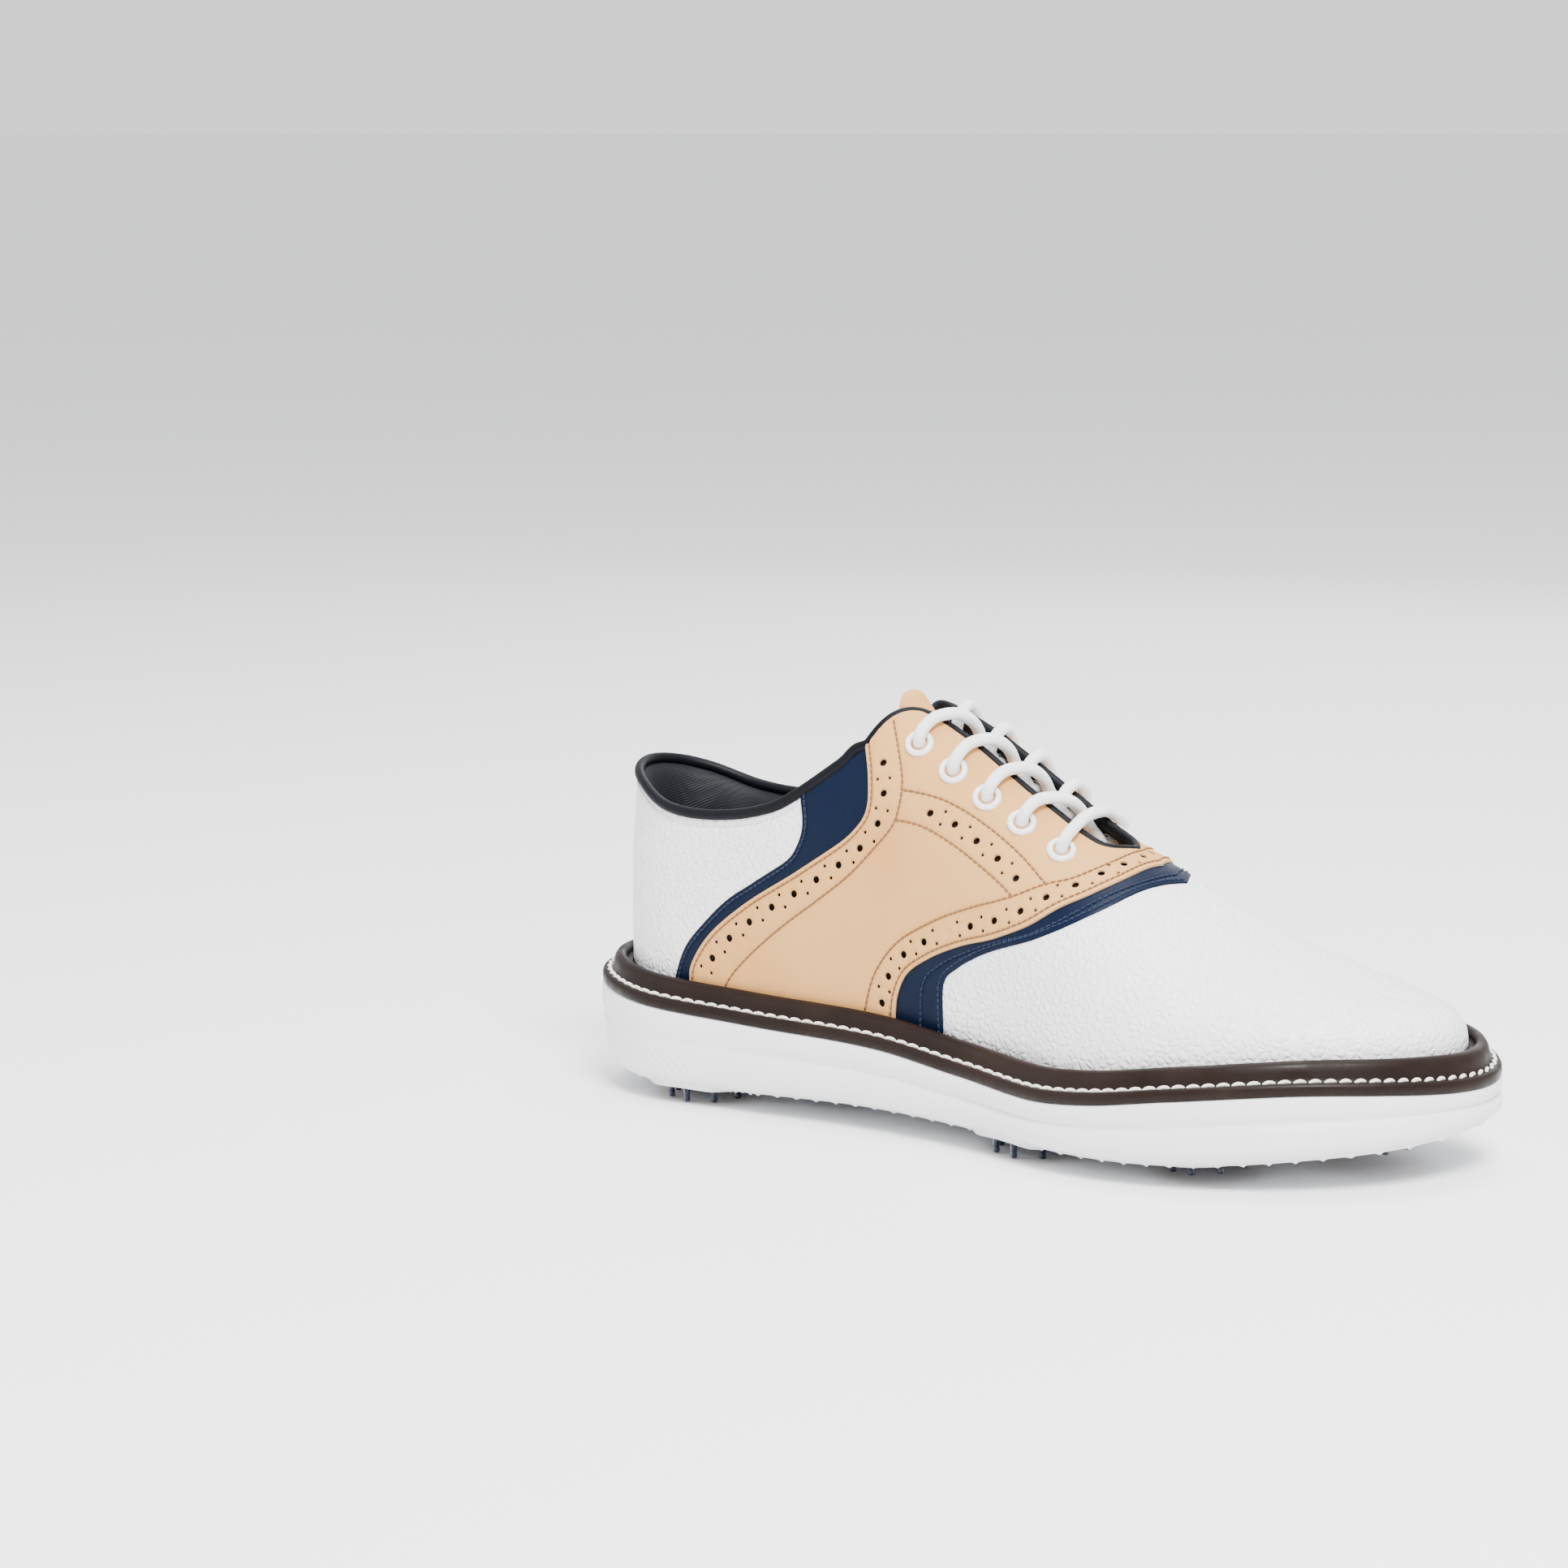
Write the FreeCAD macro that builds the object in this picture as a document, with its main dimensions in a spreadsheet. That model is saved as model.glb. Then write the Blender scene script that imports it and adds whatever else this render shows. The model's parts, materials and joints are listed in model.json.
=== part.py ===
"""Golf shoe, right foot: welted saddle upper on a spiked sole.

Frame: +X toe, +Y inner (medial) side, +Z up, origin on the ground under the middle of the shoe.
All lengths are millimetres.  Leather pieces are patches of one shoe surface, which runs from the
feather line (where the upper meets the welt) up to the ridge (the crest of the instep).
"""
import FreeCAD, Part
import math
import os
from FreeCAD import Placement, Rotation, Vector

DOC = FreeCAD.newDocument("golf_shoe")
SHEET = DOC.addObject("Spreadsheet::Sheet", "sizes")
DIMENSIONS = {
    "ground_plane": 6.0, "toe_pod_rise": 1.15, "sole_block": 60.0, "layer_gap": 0.1,
    "outsole_thick": 5.0, "outsole_inset": 4.0,
    "feather_inset": 9.0, "feather_rise": 7.0, "board_inset": 11.0, "footbed_inset": 14.4,
    "filler_top": 4.0, "board_bottom": 4.1, "board_top": 6.5, "footbed_bottom": 7.1, "footbed_top": 11.6,
    "shank_length": 92.0, "shank_width": 14.0, "shank_bottom": 1.4, "shank_top": 2.8,
    "saddle_outer": 0.0, "accent_outer": 0.6, "vamp_outer": 1.1, "leather_inner": 2.0,
    "backing_outer": 2.1, "backing_inner": 3.1, "lining_outer": 3.2, "lining_inner": 4.0,
    "canvas_outer": 2.4, "canvas_inner": 2.9,
    "collar_inner": 5.6, "collar_skin_outer": 5.7, "collar_skin_inner": 6.4,
    "tongue_outer": 10.7, "tongue_inner": 12.1, "foam_outer": 12.2, "foam_inner": 14.4,
    "tongue_skin_outer": 14.5, "tongue_skin_inner": 15.2,
    "piping_radius": 1.5, "piping_depth": 1.7,
    "eyelet_flange": 4.4, "eyelet_barrel": 3.2, "eyelet_bore": 2.8, "eyelet_hole": 3.3,
    "eyelet_height": 0.9, "eyelet_depth": 3.8, "lace_radius": 1.9, "aglet_radius": 1.5, "aglet_length": 20.0,
    "pod_radius": 16.3, "pod_inset": 5.6, "pod_top": 3.2, "pod_proud": 0.6, "pod_recess": 14.2,
    "pod_bore": 6.4, "pod_bar": 13.6,
    "insert_radius": 6.2, "insert_bore": 4.05, "insert_top": 8.8, "insert_bottom": 1.0, "insert_roof": 8.0,
    "cleat_disc": 9.4, "cleat_disc_top": 0.7, "cleat_disc_bottom": 1.3, "cleat_dome": 2.6,
    "stud_radius": 3.95, "stud_top": 7.0, "leg_circle": 11.0, "leg_radius": 1.7, "leg_tip": 0.9,
    "leg_count": 8, "arm_width": 2.6, "plaque_length": 26.0, "plaque_width": 24.0, "plaque_thick": 1.2,
}
for row, (alias, value) in enumerate(DIMENSIONS.items(), start=1):
    SHEET.set(f"A{row}", alias)
    SHEET.set(f"B{row}", str(value))
    SHEET.setAlias(f"B{row}", alias)
DOC.recompute()


def size(alias):
    return float(getattr(SHEET, alias))


def bind(obj, **formulas):
    """ties properties of an object to cells: property name = formula in cell names"""
    for prop, formula in formulas.items():
        words = formula.split(" ")
        obj.setExpression(prop, " ".join("sizes." + w if w in DIMENSIONS else w for w in words))
    return obj


# ---------------------------------------------------------------- the shoe surface

SOLE_EDGE = [(-152, 0), (-143, -23), (-118, -37.5), (-80, -38.5), (-35, -38), (5, -43), (42, -54),
             (75, -54.5), (108, -44), (137, -22), (151, 6), (148, 30), (129, 47), (98, 54.5), (62, 54),
             (22, 43), (-22, 32), (-70, 31.5), (-114, 36.5), (-142, 23)]
TREAD = [(-152, 12), (-135, 6.8), (-100, 6), (-40, 7), (10, 6), (50, 6), (82, 7), (116, 10),
         (135, 12), (152, 15)]
SOLE_TOP = [(-152, 34.5), (-120, 31.5), (-75, 29), (-30, 27), (0, 23.5), (30, 21.5), (52, 23),
            (80, 27), (112, 30), (135, 29.5), (152, 27)]
RIDGE = [(-150, 150), (-90, 150), (-60, 143), (-34, 131), (-14, 122), (10, 106.5), (30, 93.5),
         (50, 83.5), (80, 67.5), (105, 57), (120, 52.5), (140, 46)]
RIDGE_X = [(-143, -95), (-100, -80), (-60, -56), (0, 0), (60, 58), (100, 93), (144, 122)]
RIDGE_Y = [(-150, 0), (-60, 1), (0, 3), (60, 5), (100, 9), (125, 11)]
FULLNESS = [(-150, 2.4), (-30, 2.6), (-14, 2.4), (10, 2.15), (24, 2), (60, 2), (100, 2.2), (125, 2.3)]
TOPLINE = [(-152, 106), (-132, 99), (-115, 93), (-95, 92), (-75, 96), (-62, 103.5), (-43, 118)]
BULGE = 0.055
LATERAL, MEDIAL = -1, 1
HEEL_U = {LATERAL: 0.0, MEDIAL: 1.0}


def graph(knots, x):
    """smooth curve through (x, value) knots"""
    if x <= knots[0][0]:
        return knots[0][1]
    if x >= knots[-1][0]:
        return knots[-1][1]
    i = max(k for k in range(len(knots) - 1) if knots[k][0] <= x)

    def slope(j):
        a, b = max(j - 1, 0), min(j + 1, len(knots) - 1)
        return (knots[b][1] - knots[a][1]) / (knots[b][0] - knots[a][0])

    (x0, y0), (x1, y1) = knots[i], knots[i + 1]
    w = x1 - x0
    f = (x - x0) / w
    return (y0 * (1 + 2 * f) * (1 - f) ** 2 + slope(i) * w * f * (1 - f) ** 2
            + y1 * f * f * (3 - 2 * f) + slope(i + 1) * w * f * f * (f - 1))


def spline(points, k, i):
    """Catmull-Rom point between points[i] and points[i + 1], closed list"""
    n = len(points)
    p = [points[(i + d) % n] for d in (-1, 0, 1, 2)]
    return tuple(0.5 * (2 * b + (c - a) * k + (2 * a - 5 * b + 4 * c - d) * k * k
                        + (3 * b - a - 3 * c + d) * k ** 3) for a, b, c, d in zip(*p))


def edge(u, inset):
    """point at u (0 to 1 round the sole) on the sole's outline, moved inwards"""
    def at(w):
        w = (w % 1.0) * len(SOLE_EDGE)
        return spline(SOLE_EDGE, w - int(w), int(w))
    (ax, ay), (bx, by), (px, py) = at(u - 1e-4), at(u + 1e-4), at(u)
    length = math.hypot(bx - ax, by - ay)
    return px - (by - ay) / length * inset, py + (bx - ax) / length * inset


TOE_U = max((k / 1000 for k in range(450, 560)), key=lambda u: edge(u, size("feather_inset"))[0])
TOE_X = edge(TOE_U, size("feather_inset"))[0]
HEEL_X = edge(0.0, size("feather_inset"))[0]


def foot_u(side, x):
    """u where the feather line of one side passes x"""
    low, high = HEEL_U[side], TOE_U
    if x <= HEEL_X:
        return low
    if x >= TOE_X:
        return high
    for _ in range(40):
        middle = (low + high) / 2
        if edge(middle, size("feather_inset"))[0] < x:
            low = middle
        else:
            high = middle
    return (low + high) / 2


def shoe(side, x, v, inset=0.0):
    """point of the upper over feather point x: v is 0 at the feather line, 1 on the ridge"""
    u = foot_u(side, x)
    xf = edge(u, size("feather_inset"))[0]
    x0, y0 = edge(u, size("feather_inset") + inset)
    z0 = graph(SOLE_TOP, xf) + size("feather_rise")
    xr = graph(RIDGE_X, xf)
    yr = graph(RIDGE_Y, xr)
    zr = graph(RIDGE, xr) - inset
    a = max(0.0, min(v, 1.0)) * math.pi / 2
    power = 2 / graph(FULLNESS, xr)
    c, s = max(math.cos(a), 0.0) ** power, math.sin(a) ** power
    swell = 1 + BULGE * math.sin(2 * a) ** 2
    return Vector(xr + (x0 - xr) * c * swell, yr + (y0 - yr) * c * swell, z0 + (zr - z0) * s)


def v_at_height(side, x, z):
    low, high = 0.0, 1.0
    for _ in range(30):
        middle = (low + high) / 2
        if shoe(side, x, middle).z < z:
            low = middle
        else:
            high = middle
    return low


def normal(side, x, v):
    """outward unit normal of the shoe surface"""
    along = shoe(side, x + 1, v) - shoe(side, x - 1, v)
    up = shoe(side, x, v + 0.01) - shoe(side, x, v - 0.01)
    n = along.cross(up) * (-side)
    return n.normalize()


# ---------------------------------------------------------------- sheets of leather, foam and cloth

def through(points):
    """poles of the smooth curve that passes evenly through a row of points"""
    if len(points) == 2:
        return points
    curve = Part.BSplineCurve()
    curve.interpolate(Points=points, Parameters=[float(k) for k in range(len(points))])
    return curve.getPoles()


def skin(grid):
    """smooth surface through a grid of points; two rows or columns give a ruled strip"""
    def knots(n):
        degree = 1 if n == 2 else 3
        return [float(k) for k in range(n)], [degree + 1] + [1] * (n - 2) + [degree + 1], degree
    ku, mu, du = knots(len(grid))
    kv, mv, dv = knots(len(grid[0]))
    rows = [through(row) for row in grid]
    columns = [through(list(column)) for column in zip(*rows)]
    surface = Part.BSplineSurface()
    poles = [list(row) for row in zip(*columns)]
    surface.buildFromPolesMultsKnots(poles, mu, mv, ku, kv, False, False, du, dv)
    return surface.toShape()


def sewn(faces):
    shell = Part.makeCompound(faces)
    shell.sewShape(0.001)
    shell = shell if shell.ShapeType == "Shell" else shell.Shells[0]
    solid = Part.Solid(shell)
    if solid.Volume < 0:
        solid = Part.Solid(shell.reversed())
    return solid


def piece(label, shape):
    obj = DOC.addObject("Part::Feature", label)
    obj.Label = label
    obj.Shape = shape
    return obj


def along(points, f):
    """smooth open path through (x, v) points, f from 0 to 1"""
    n = len(points) - 1
    i = min(int(f * n), n - 1)
    first = tuple(2 * a - b for a, b in zip(points[0], points[1]))
    last = tuple(2 * a - b for a, b in zip(points[-1], points[-2]))
    return spline([first] + list(points) + [last], f * n - i, i + 1)


def quad(bottom, top, rear, front):
    """maps (s, t) into the region between four (x, v) paths"""
    def blend(s, t):
        b, u, r, f = along(bottom, s), along(top, s), along(rear, t), along(front, t)
        corners = (bottom[0], bottom[-1], top[0], top[-1])
        return tuple((1 - t) * b[k] + t * u[k] + (1 - s) * r[k] + s * f[k]
                     - (1 - s) * (1 - t) * corners[0][k] - s * (1 - t) * corners[1][k]
                     - (1 - s) * t * corners[2][k] - s * t * corners[3][k] for k in (0, 1))
    return blend


def patch_faces(side, region, outer, inner, rows, columns, open_sides=()):
    """outer and inner faces of one patch, at depths given by functions, with rims on all closed sides"""
    def grid(depth):
        table = []
        for i in range(rows):
            line = []
            for j in range(columns):
                x, v = region(i / (rows - 1), j / (columns - 1))
                line.append(shoe(side, x, v, depth(x, v)))
            table.append(line)
        return table
    out, inn = grid(outer), grid(inner)
    rims = {"rear": [out[0], inn[0]], "front": [out[-1], inn[-1]],
            "bottom": [[r[0] for r in out], [r[0] for r in inn]],
            "top": [[r[-1] for r in out], [r[-1] for r in inn]]}
    return [skin(out), skin(inn)] + [skin(rims[k]) for k in rims if k not in open_sides]


def level(alias):
    """one depth all over a sheet"""
    return lambda x, v: size(alias)


def patch(label, side, region, outer, inner, rows=14, columns=10):
    return piece(label, sewn(patch_faces(side, region, level(outer), level(inner), rows, columns)))


def wrap(label, region, outer, inner, open_sides, rows=14, columns=10):
    """one sheet over both sides, joined where its sides are left open"""
    faces = []
    for side in (LATERAL, MEDIAL):
        faces += patch_faces(side, region, level(outer), level(inner), rows, columns, open_sides)
    return piece(label, sewn(faces))


def moved(path, dx):
    return [(x + dx, v) for x, v in path]


def take_label(finished, blank):
    """the finished solid carries the piece's name, the blank it is cut from doesn't"""
    label = blank.Label
    blank.Label = label + "_blank"
    finished.Label = label
    return finished


def toe_region(rear):
    """from a rear path forward to the toe"""
    def blend(s, t):
        x, v = along(rear, t)
        return TOE_X - (TOE_X - x) * (1 - s) ** 2, t + (v - t) * (1 - s)
    return blend


COUNTER_TOP = 75.0


def heel_region(front):
    """from the heel's centre line forward to a front path, up to the top of the heel counter"""
    def blend(s, t):
        x, v = along(front, t)
        xs = HEEL_X + (x - HEEL_X) * s ** 1.5
        return xs, v_at_height(LATERAL, xs, COUNTER_TOP) * t
    return blend


GAP = 0.35
SADDLE_REAR = [(-104, 0), (-103, 0.02), (-96, 0.062), (-84, 0.113), (-65, 0.188), (-51, 0.263),
               (-43.5, 0.325), (-40, 0.39), (-41, 0.48), (-44, 0.55)]
THROAT = [(-44, 0.57), (-38.5, 0.75), (-33.5, 0.84), (-28, 0.865), (-15, 0.85), (4, 0.835), (18, 0.84),
          (28, 0.85), (34, 0.885), (39, 1.0)]
THROAT_TO_RIDGE = [(x, v - 0.03) for x, v in THROAT[:-1]] + [(41, 0.975), (48, 1.0)]
SADDLE_FRONT = [(-28, 0), (-27, 0.03), (-23.5, 0.07), (-16, 0.12), (-3, 0.2), (9.5, 0.28), (21, 0.39),
                (30.5, 0.52), (38.5, 0.64), (44.5, 0.79), (48, 1.0)]
ACCENT_FRONT = [(-10, 0), (-10, 0.09), (-5, 0.14), (3.5, 0.205), (16, 0.3), (28, 0.41), (37.5, 0.52),
                (45, 0.64), (50.5, 0.79), (55, 0.94), (56.5, 1.0)]
ACCENT_REAR = [(-110.5, 0), (-106, 0.038), (-99, 0.075), (-90, 0.119), (-80.5, 0.156), (-69, 0.206),
               (-65, 0.24), (-63, 0.29), (-64.5, 0.36)]
EYELETS = [(-26.8, 0.68), (-14.2, 0.66), (-2, 0.66), (10.3, 0.675), (23.9, 0.70)]


def top_v(x):
    """v of the leather's upper edge round the collar, just under the piping"""
    return v_at_height(LATERAL, x, graph(TOPLINE, x) - 2.6)


def saddles():
    made = []
    rear = SADDLE_REAR[:-1] + [THROAT_TO_RIDGE[0]]
    region = quad([(-104, 0), (-28, 0)], THROAT_TO_RIDGE, rear, SADDLE_FRONT)
    for side, name in ((LATERAL, "lateral"), (MEDIAL, "medial")):
        blank = patch("saddle_" + name, side, region, "saddle_outer", "leather_inner", 22, 14)
        made.append(with_holes(blank, side))
    return made


def with_holes(leather, side):
    """punches the eyelet holes of one side"""
    drills = []
    for number, (x, v) in enumerate(EYELETS, start=1):
        drill = DOC.addObject("Part::Cylinder", f"{leather.Name}_drill_{number}")
        bind(drill, Radius="eyelet_hole", Height="sole_block / 3")
        n = normal(side, x, v)
        drill.Placement = Placement(shoe(side, x, v) - n * 8, Rotation(Vector(0, 0, 1), n))
        drills.append(drill)
    tools = DOC.addObject("Part::Compound", leather.Name + "_drills")
    tools.Links = drills
    cut = DOC.addObject("Part::Cut", leather.Name + "_punched")
    cut.Base, cut.Tool = leather, tools
    return take_label(cut, leather)


def leather_pieces():
    """outer leathers, in front of and behind the saddle"""
    made = saddles()
    top_edge = [(-64.5, top_v(-64.5)), (-54, top_v(-54)), (-44 - GAP, THROAT_TO_RIDGE[0][1])]
    rear = ACCENT_REAR[:-1] + [top_edge[0]]
    front = moved(SADDLE_REAR[:-1] + [(-44, THROAT_TO_RIDGE[0][1])], -GAP - 0.45)
    band = quad([(-110.5, 0), (-104 - GAP, 0)], top_edge, rear, front)
    for side, name in ((LATERAL, "lateral"), (MEDIAL, "medial")):
        made.append(patch("rear_accent_" + name, side, band, "accent_outer", "leather_inner"))
    front_band = quad([(-28 + GAP, 0), (-10, 0)], [(48 + GAP, 1), (56.5, 1)], moved(SADDLE_FRONT, GAP),
                      ACCENT_FRONT)
    made.append(wrap("front_accent", front_band, "accent_outer", "leather_inner", ("top",), 6, 16))
    made.append(wrap("vamp", toe_region(moved(ACCENT_FRONT, GAP)), "vamp_outer", "leather_inner",
                     ("top", "front"), 16, 12))
    quarter_front = moved(ACCENT_REAR[:-1] + [top_edge[0]], -GAP)
    made.append(wrap("heel_quarter", quarter_region(quarter_front), "vamp_outer", "leather_inner",
                     ("rear",)))
    return made


def quarter_region(front):
    """from the heel's centre line forward to a sloping front path, up to the topline"""
    def blend(s, t):
        x_front, v_front = along(front, t)
        x = HEEL_X + (x_front - HEEL_X) * s ** 1.5
        share = t + (v_front / top_v(x_front) - t) * s
        return x, top_v(x) * share
    return blend


BACKING_REAR = [(-79, 0), (-79, 0.05), (-77, 0.12), (-66, 0.19)] + SADDLE_REAR[5:-1] + [THROAT_TO_RIDGE[0]]
LINING_REAR = [(-62, 0), (-62, 0.06), (-61.5, 0.12), (-60, 0.2)] + SADDLE_REAR[5:-1] + [THROAT_TO_RIDGE[0]]


def inner_pieces():
    """stiffeners, padding and linings behind the outer leathers"""
    made = []
    seam = moved(ACCENT_FRONT, -1)
    seam[-1] = (55.5, 1.0)
    crest = THROAT_TO_RIDGE[:-1] + [(55.5, 1.0)]
    behind = quad([(-79, 0), (-11, 0)], crest, BACKING_REAR, seam)
    lining = quad([(-62, 0), (-11, 0)], crest, LINING_REAR, seam)
    for side, name in ((LATERAL, "lateral"), (MEDIAL, "medial")):
        canvas = patch("saddle_backing_" + name, side, behind, "backing_outer", "backing_inner", 20, 12)
        cloth = patch("quarter_lining_" + name, side, lining, "lining_outer", "lining_inner", 20, 12)
        made += [with_holes(canvas, side), with_holes(cloth, side)]
    made.append(wrap("vamp_lining", toe_region(moved(ACCENT_FRONT, -0.6)), "lining_outer", "lining_inner",
                     ("top", "front"), 16, 12))
    puff_rear = [(104, 0), (104, 0.5), (104, 1.0)]
    made.append(wrap("toe_puff", toe_region(puff_rear), "backing_outer", "backing_inner",
                     ("top", "front"), 12, 10))
    between = quad([(-10.6, 0), (103.6, 0)], [(55.9, 1), (103.6, 1)], moved(ACCENT_FRONT, -0.6),
                   moved(puff_rear, -0.4))
    made.append(wrap("vamp_interlining", between, "canvas_outer", "canvas_inner", ("top",), 18, 14))
    made.append(wrap("heel_counter", heel_region([(-79.5, 0), (-79.5, 0.15)]),
                     "backing_outer", "backing_inner", ("rear",)))
    made.append(wrap("heel_lining", heel_region([(-62.5, 0), (-62.5, 0.15)]),
                     "lining_outer", "lining_inner", ("rear",)))
    for label, outer, inner in (("collar_foam", "backing_outer", "collar_inner"),
                                ("collar_lining", "collar_skin_outer", "collar_skin_inner")):
        made.append(wrap(label, collar_region(), outer, inner, ("rear",), 16, 6))
    return made


def collar_region():
    """above the heel counter, from the heel's centre line to the saddle"""
    front = [(-67, 0.2), (-58, 0.25), (-48.5, 0.31), (-44, 0.36), (-43, 0.42), (-45.5, top_v(-45.5))]

    def blend(s, t):
        x_front, v_front = along(front, t)
        x = HEEL_X + (x_front - HEEL_X) * s ** 1.5
        low_front = v_at_height(LATERAL, x_front, COUNTER_TOP + 1)
        share = t + ((v_front - low_front) / (top_v(x_front) - low_front) - t) * s
        low = v_at_height(LATERAL, x, COUNTER_TOP + 1)
        return x, low + (top_v(x) - low) * share
    return blend


def piping():
    """rolled binding round the throat and the collar"""
    def centre(side, f):
        if f < 0.5:
            x, v = along(THROAT[::-1], f * 2)
        else:
            x = THROAT[0][0] + (HEEL_X - THROAT[0][0]) * (1 - (2 - 2 * f) ** 1.5)
            v = v_at_height(side, x, graph(TOPLINE, x) + 0.9)
            near = max(0.0, 1 - (THROAT[0][0] - x) / 6)
            v = v * (1 - near) + THROAT[0][1] * near
        return shoe(side, x, v, size("piping_depth"))
    count, sides = 90, 6
    faces = []
    for side in (LATERAL, MEDIAL):
        path = [centre(side, k / (count - 1)) for k in range(count)]
        rings = []
        for k in range(count):
            ahead = path[min(k + 1, count - 1)] - path[max(k - 1, 0)]
            if k == 0:
                ahead = Vector(0, side, 0)
            if k == count - 1:
                ahead = Vector(0, -side, 0)
            ahead.normalize()
            out = Vector(0, 0, 1) - ahead * ahead.z
            out.normalize()
            across = ahead.cross(out)
            turn = [2 * math.pi * j / sides for j in range(sides)]
            radius = size("piping_radius")
            rings.append([path[k] + (out * math.cos(a) + across * math.sin(a) * side) * radius for a in turn])
        for j in range(sides):
            faces.append(skin([[ring[j], ring[(j + 1) % sides]] for ring in rings]))
    return [piece("collar_piping", sewn(faces))]


def ease(f):
    """smooth step from 0 to 1"""
    f = max(0.0, min(f, 1.0))
    return f * f * (3 - 2 * f)


def tongue_rise(x, v):
    """how far the tongue stands up out of the throat: its free end flares out in the middle"""
    return 9.0 * ease((-27 - x) / 14) * ease((v - 0.72) / 0.22)


def tongue():
    """padded tongue under the laces, stitched down in front of the throat"""
    top = [(-42, 1), (44, 1)]
    wing = [(-38, 0.58), (-20, 0.5), (0, 0.5), (36, 0.62)]
    region = quad(wing, top, [(-38, 0.58), (-41, 0.8), (-42, 1)], [(36, 0.62), (44, 1)])
    made = []
    for label, outer, inner in (("tongue", "tongue_outer", "tongue_inner"),
                                ("tongue_foam", "foam_outer", "foam_inner"),
                                ("tongue_lining", "tongue_skin_outer", "tongue_skin_inner")):
        faces = []
        for side in (LATERAL, MEDIAL):
            faces += patch_faces(side, region, lambda x, v: size(outer) - tongue_rise(x, v),
                                 lambda x, v: size(inner) - tongue_rise(x, v), 16, 12, ("top",))
        made.append(piece(label, sewn(faces)))
    return made


# ---------------------------------------------------------------- sole

def outline_sketch(label, inset):
    """plan outline of the sole, moved inwards"""
    sketch = DOC.addObject("Sketcher::SketchObject", label)
    points = [Vector(*edge(k / 48, inset), 0) for k in range(48)]
    curve = Part.BSplineCurve()
    curve.interpolate(points, PeriodicFlag=True)
    sketch.addGeometry(curve, False)
    return sketch


def profile_sketch(label, low, high):
    """side profile between two heights, each a function of x, drawn in the XZ plane"""
    sketch = DOC.addObject("Sketcher::SketchObject", label)
    sketch.Placement = Placement(Vector(0, 0, 0), Rotation(Vector(1, 0, 0), 90))
    stations = [-160 + 16 * k for k in range(21)]
    lower, upper = Part.BSplineCurve(), Part.BSplineCurve()
    lower.interpolate([Vector(x, low(x), 0) for x in stations])
    upper.interpolate([Vector(x, high(x), 0) for x in stations])
    for x in (stations[0], stations[-1]):
        sketch.addGeometry(Part.LineSegment(Vector(x, low(x), 0), Vector(x, high(x), 0)), False)
    sketch.addGeometry(lower, False)
    sketch.addGeometry(upper, False)
    return sketch


def layer(label, inset, low, high):
    """slab with the sole's outline, cut to a side profile"""
    plan = DOC.addObject("Part::Extrusion", label + "_plan")
    plan.Base = outline_sketch(label + "_outline", inset)
    plan.Dir = Vector(0, 0, 1)
    plan.Solid = True
    bind(plan, LengthFwd="sole_block")
    side = DOC.addObject("Part::Extrusion", label + "_side")
    side.Base = profile_sketch(label + "_profile", low, high)
    side.Dir = Vector(0, 1, 0)
    side.Solid = True
    side.Symmetric = True
    bind(side, LengthFwd="3 * sole_block")
    slab = DOC.addObject("Part::MultiCommon", label)
    slab.Shapes = [plan, side]
    slab.Label = label
    return slab


def cut_out(base, tools):
    """cuts tool objects out of a base and takes over its label"""
    bundle = DOC.addObject("Part::Compound", base.Name + "_tools")
    bundle.Links = tools
    cut = DOC.addObject("Part::Cut", base.Name + "_cut")
    cut.Base, cut.Tool = base, bundle
    return take_label(cut, base)


def cylinder(label, place, low, radius, height):
    """upright cylinder in a tread frame; radius and height are formulas"""
    rod = DOC.addObject("Part::Cylinder", label)
    bind(rod, Radius=radius, Height=height)
    rod.Placement = place.multiply(Placement(Vector(0, 0, low), Rotation()))
    return rod


def tread_z(x):
    return graph(TREAD, x)


def top_z(x):
    return graph(SOLE_TOP, x)


TOE_TILT = math.degrees(math.atan2(3.8, 42))
CLEATS = {"toe_front": (116, 8), "toe_inner": (74, 31), "toe_outer": (79, -25), "ball_inner": (14, 20),
          "ball_outer": (21, -28.5), "heel_inner": (-110, 18.5), "heel_outer": (-105, -19)}
PODS = {"cleat_pod_toe": ("toe_front", "toe_inner", "toe_outer"),
        "cleat_pod_ball": ("ball_inner", "ball_outer"),
        "cleat_pod_heel": ("heel_inner", "heel_outer")}


def tread_frame(x, y):
    """placement on the tread plane: flat at heel and ball, sloping up under the toes"""
    if x > 60:
        rise = math.tan(math.radians(TOE_TILT)) * (x - 74)
        height = size("ground_plane") + size("toe_pod_rise") + rise
        return Placement(Vector(x, y, height), Rotation(Vector(0, 1, 0), -TOE_TILT))
    return Placement(Vector(x, y, size("ground_plane")), Rotation())


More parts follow.
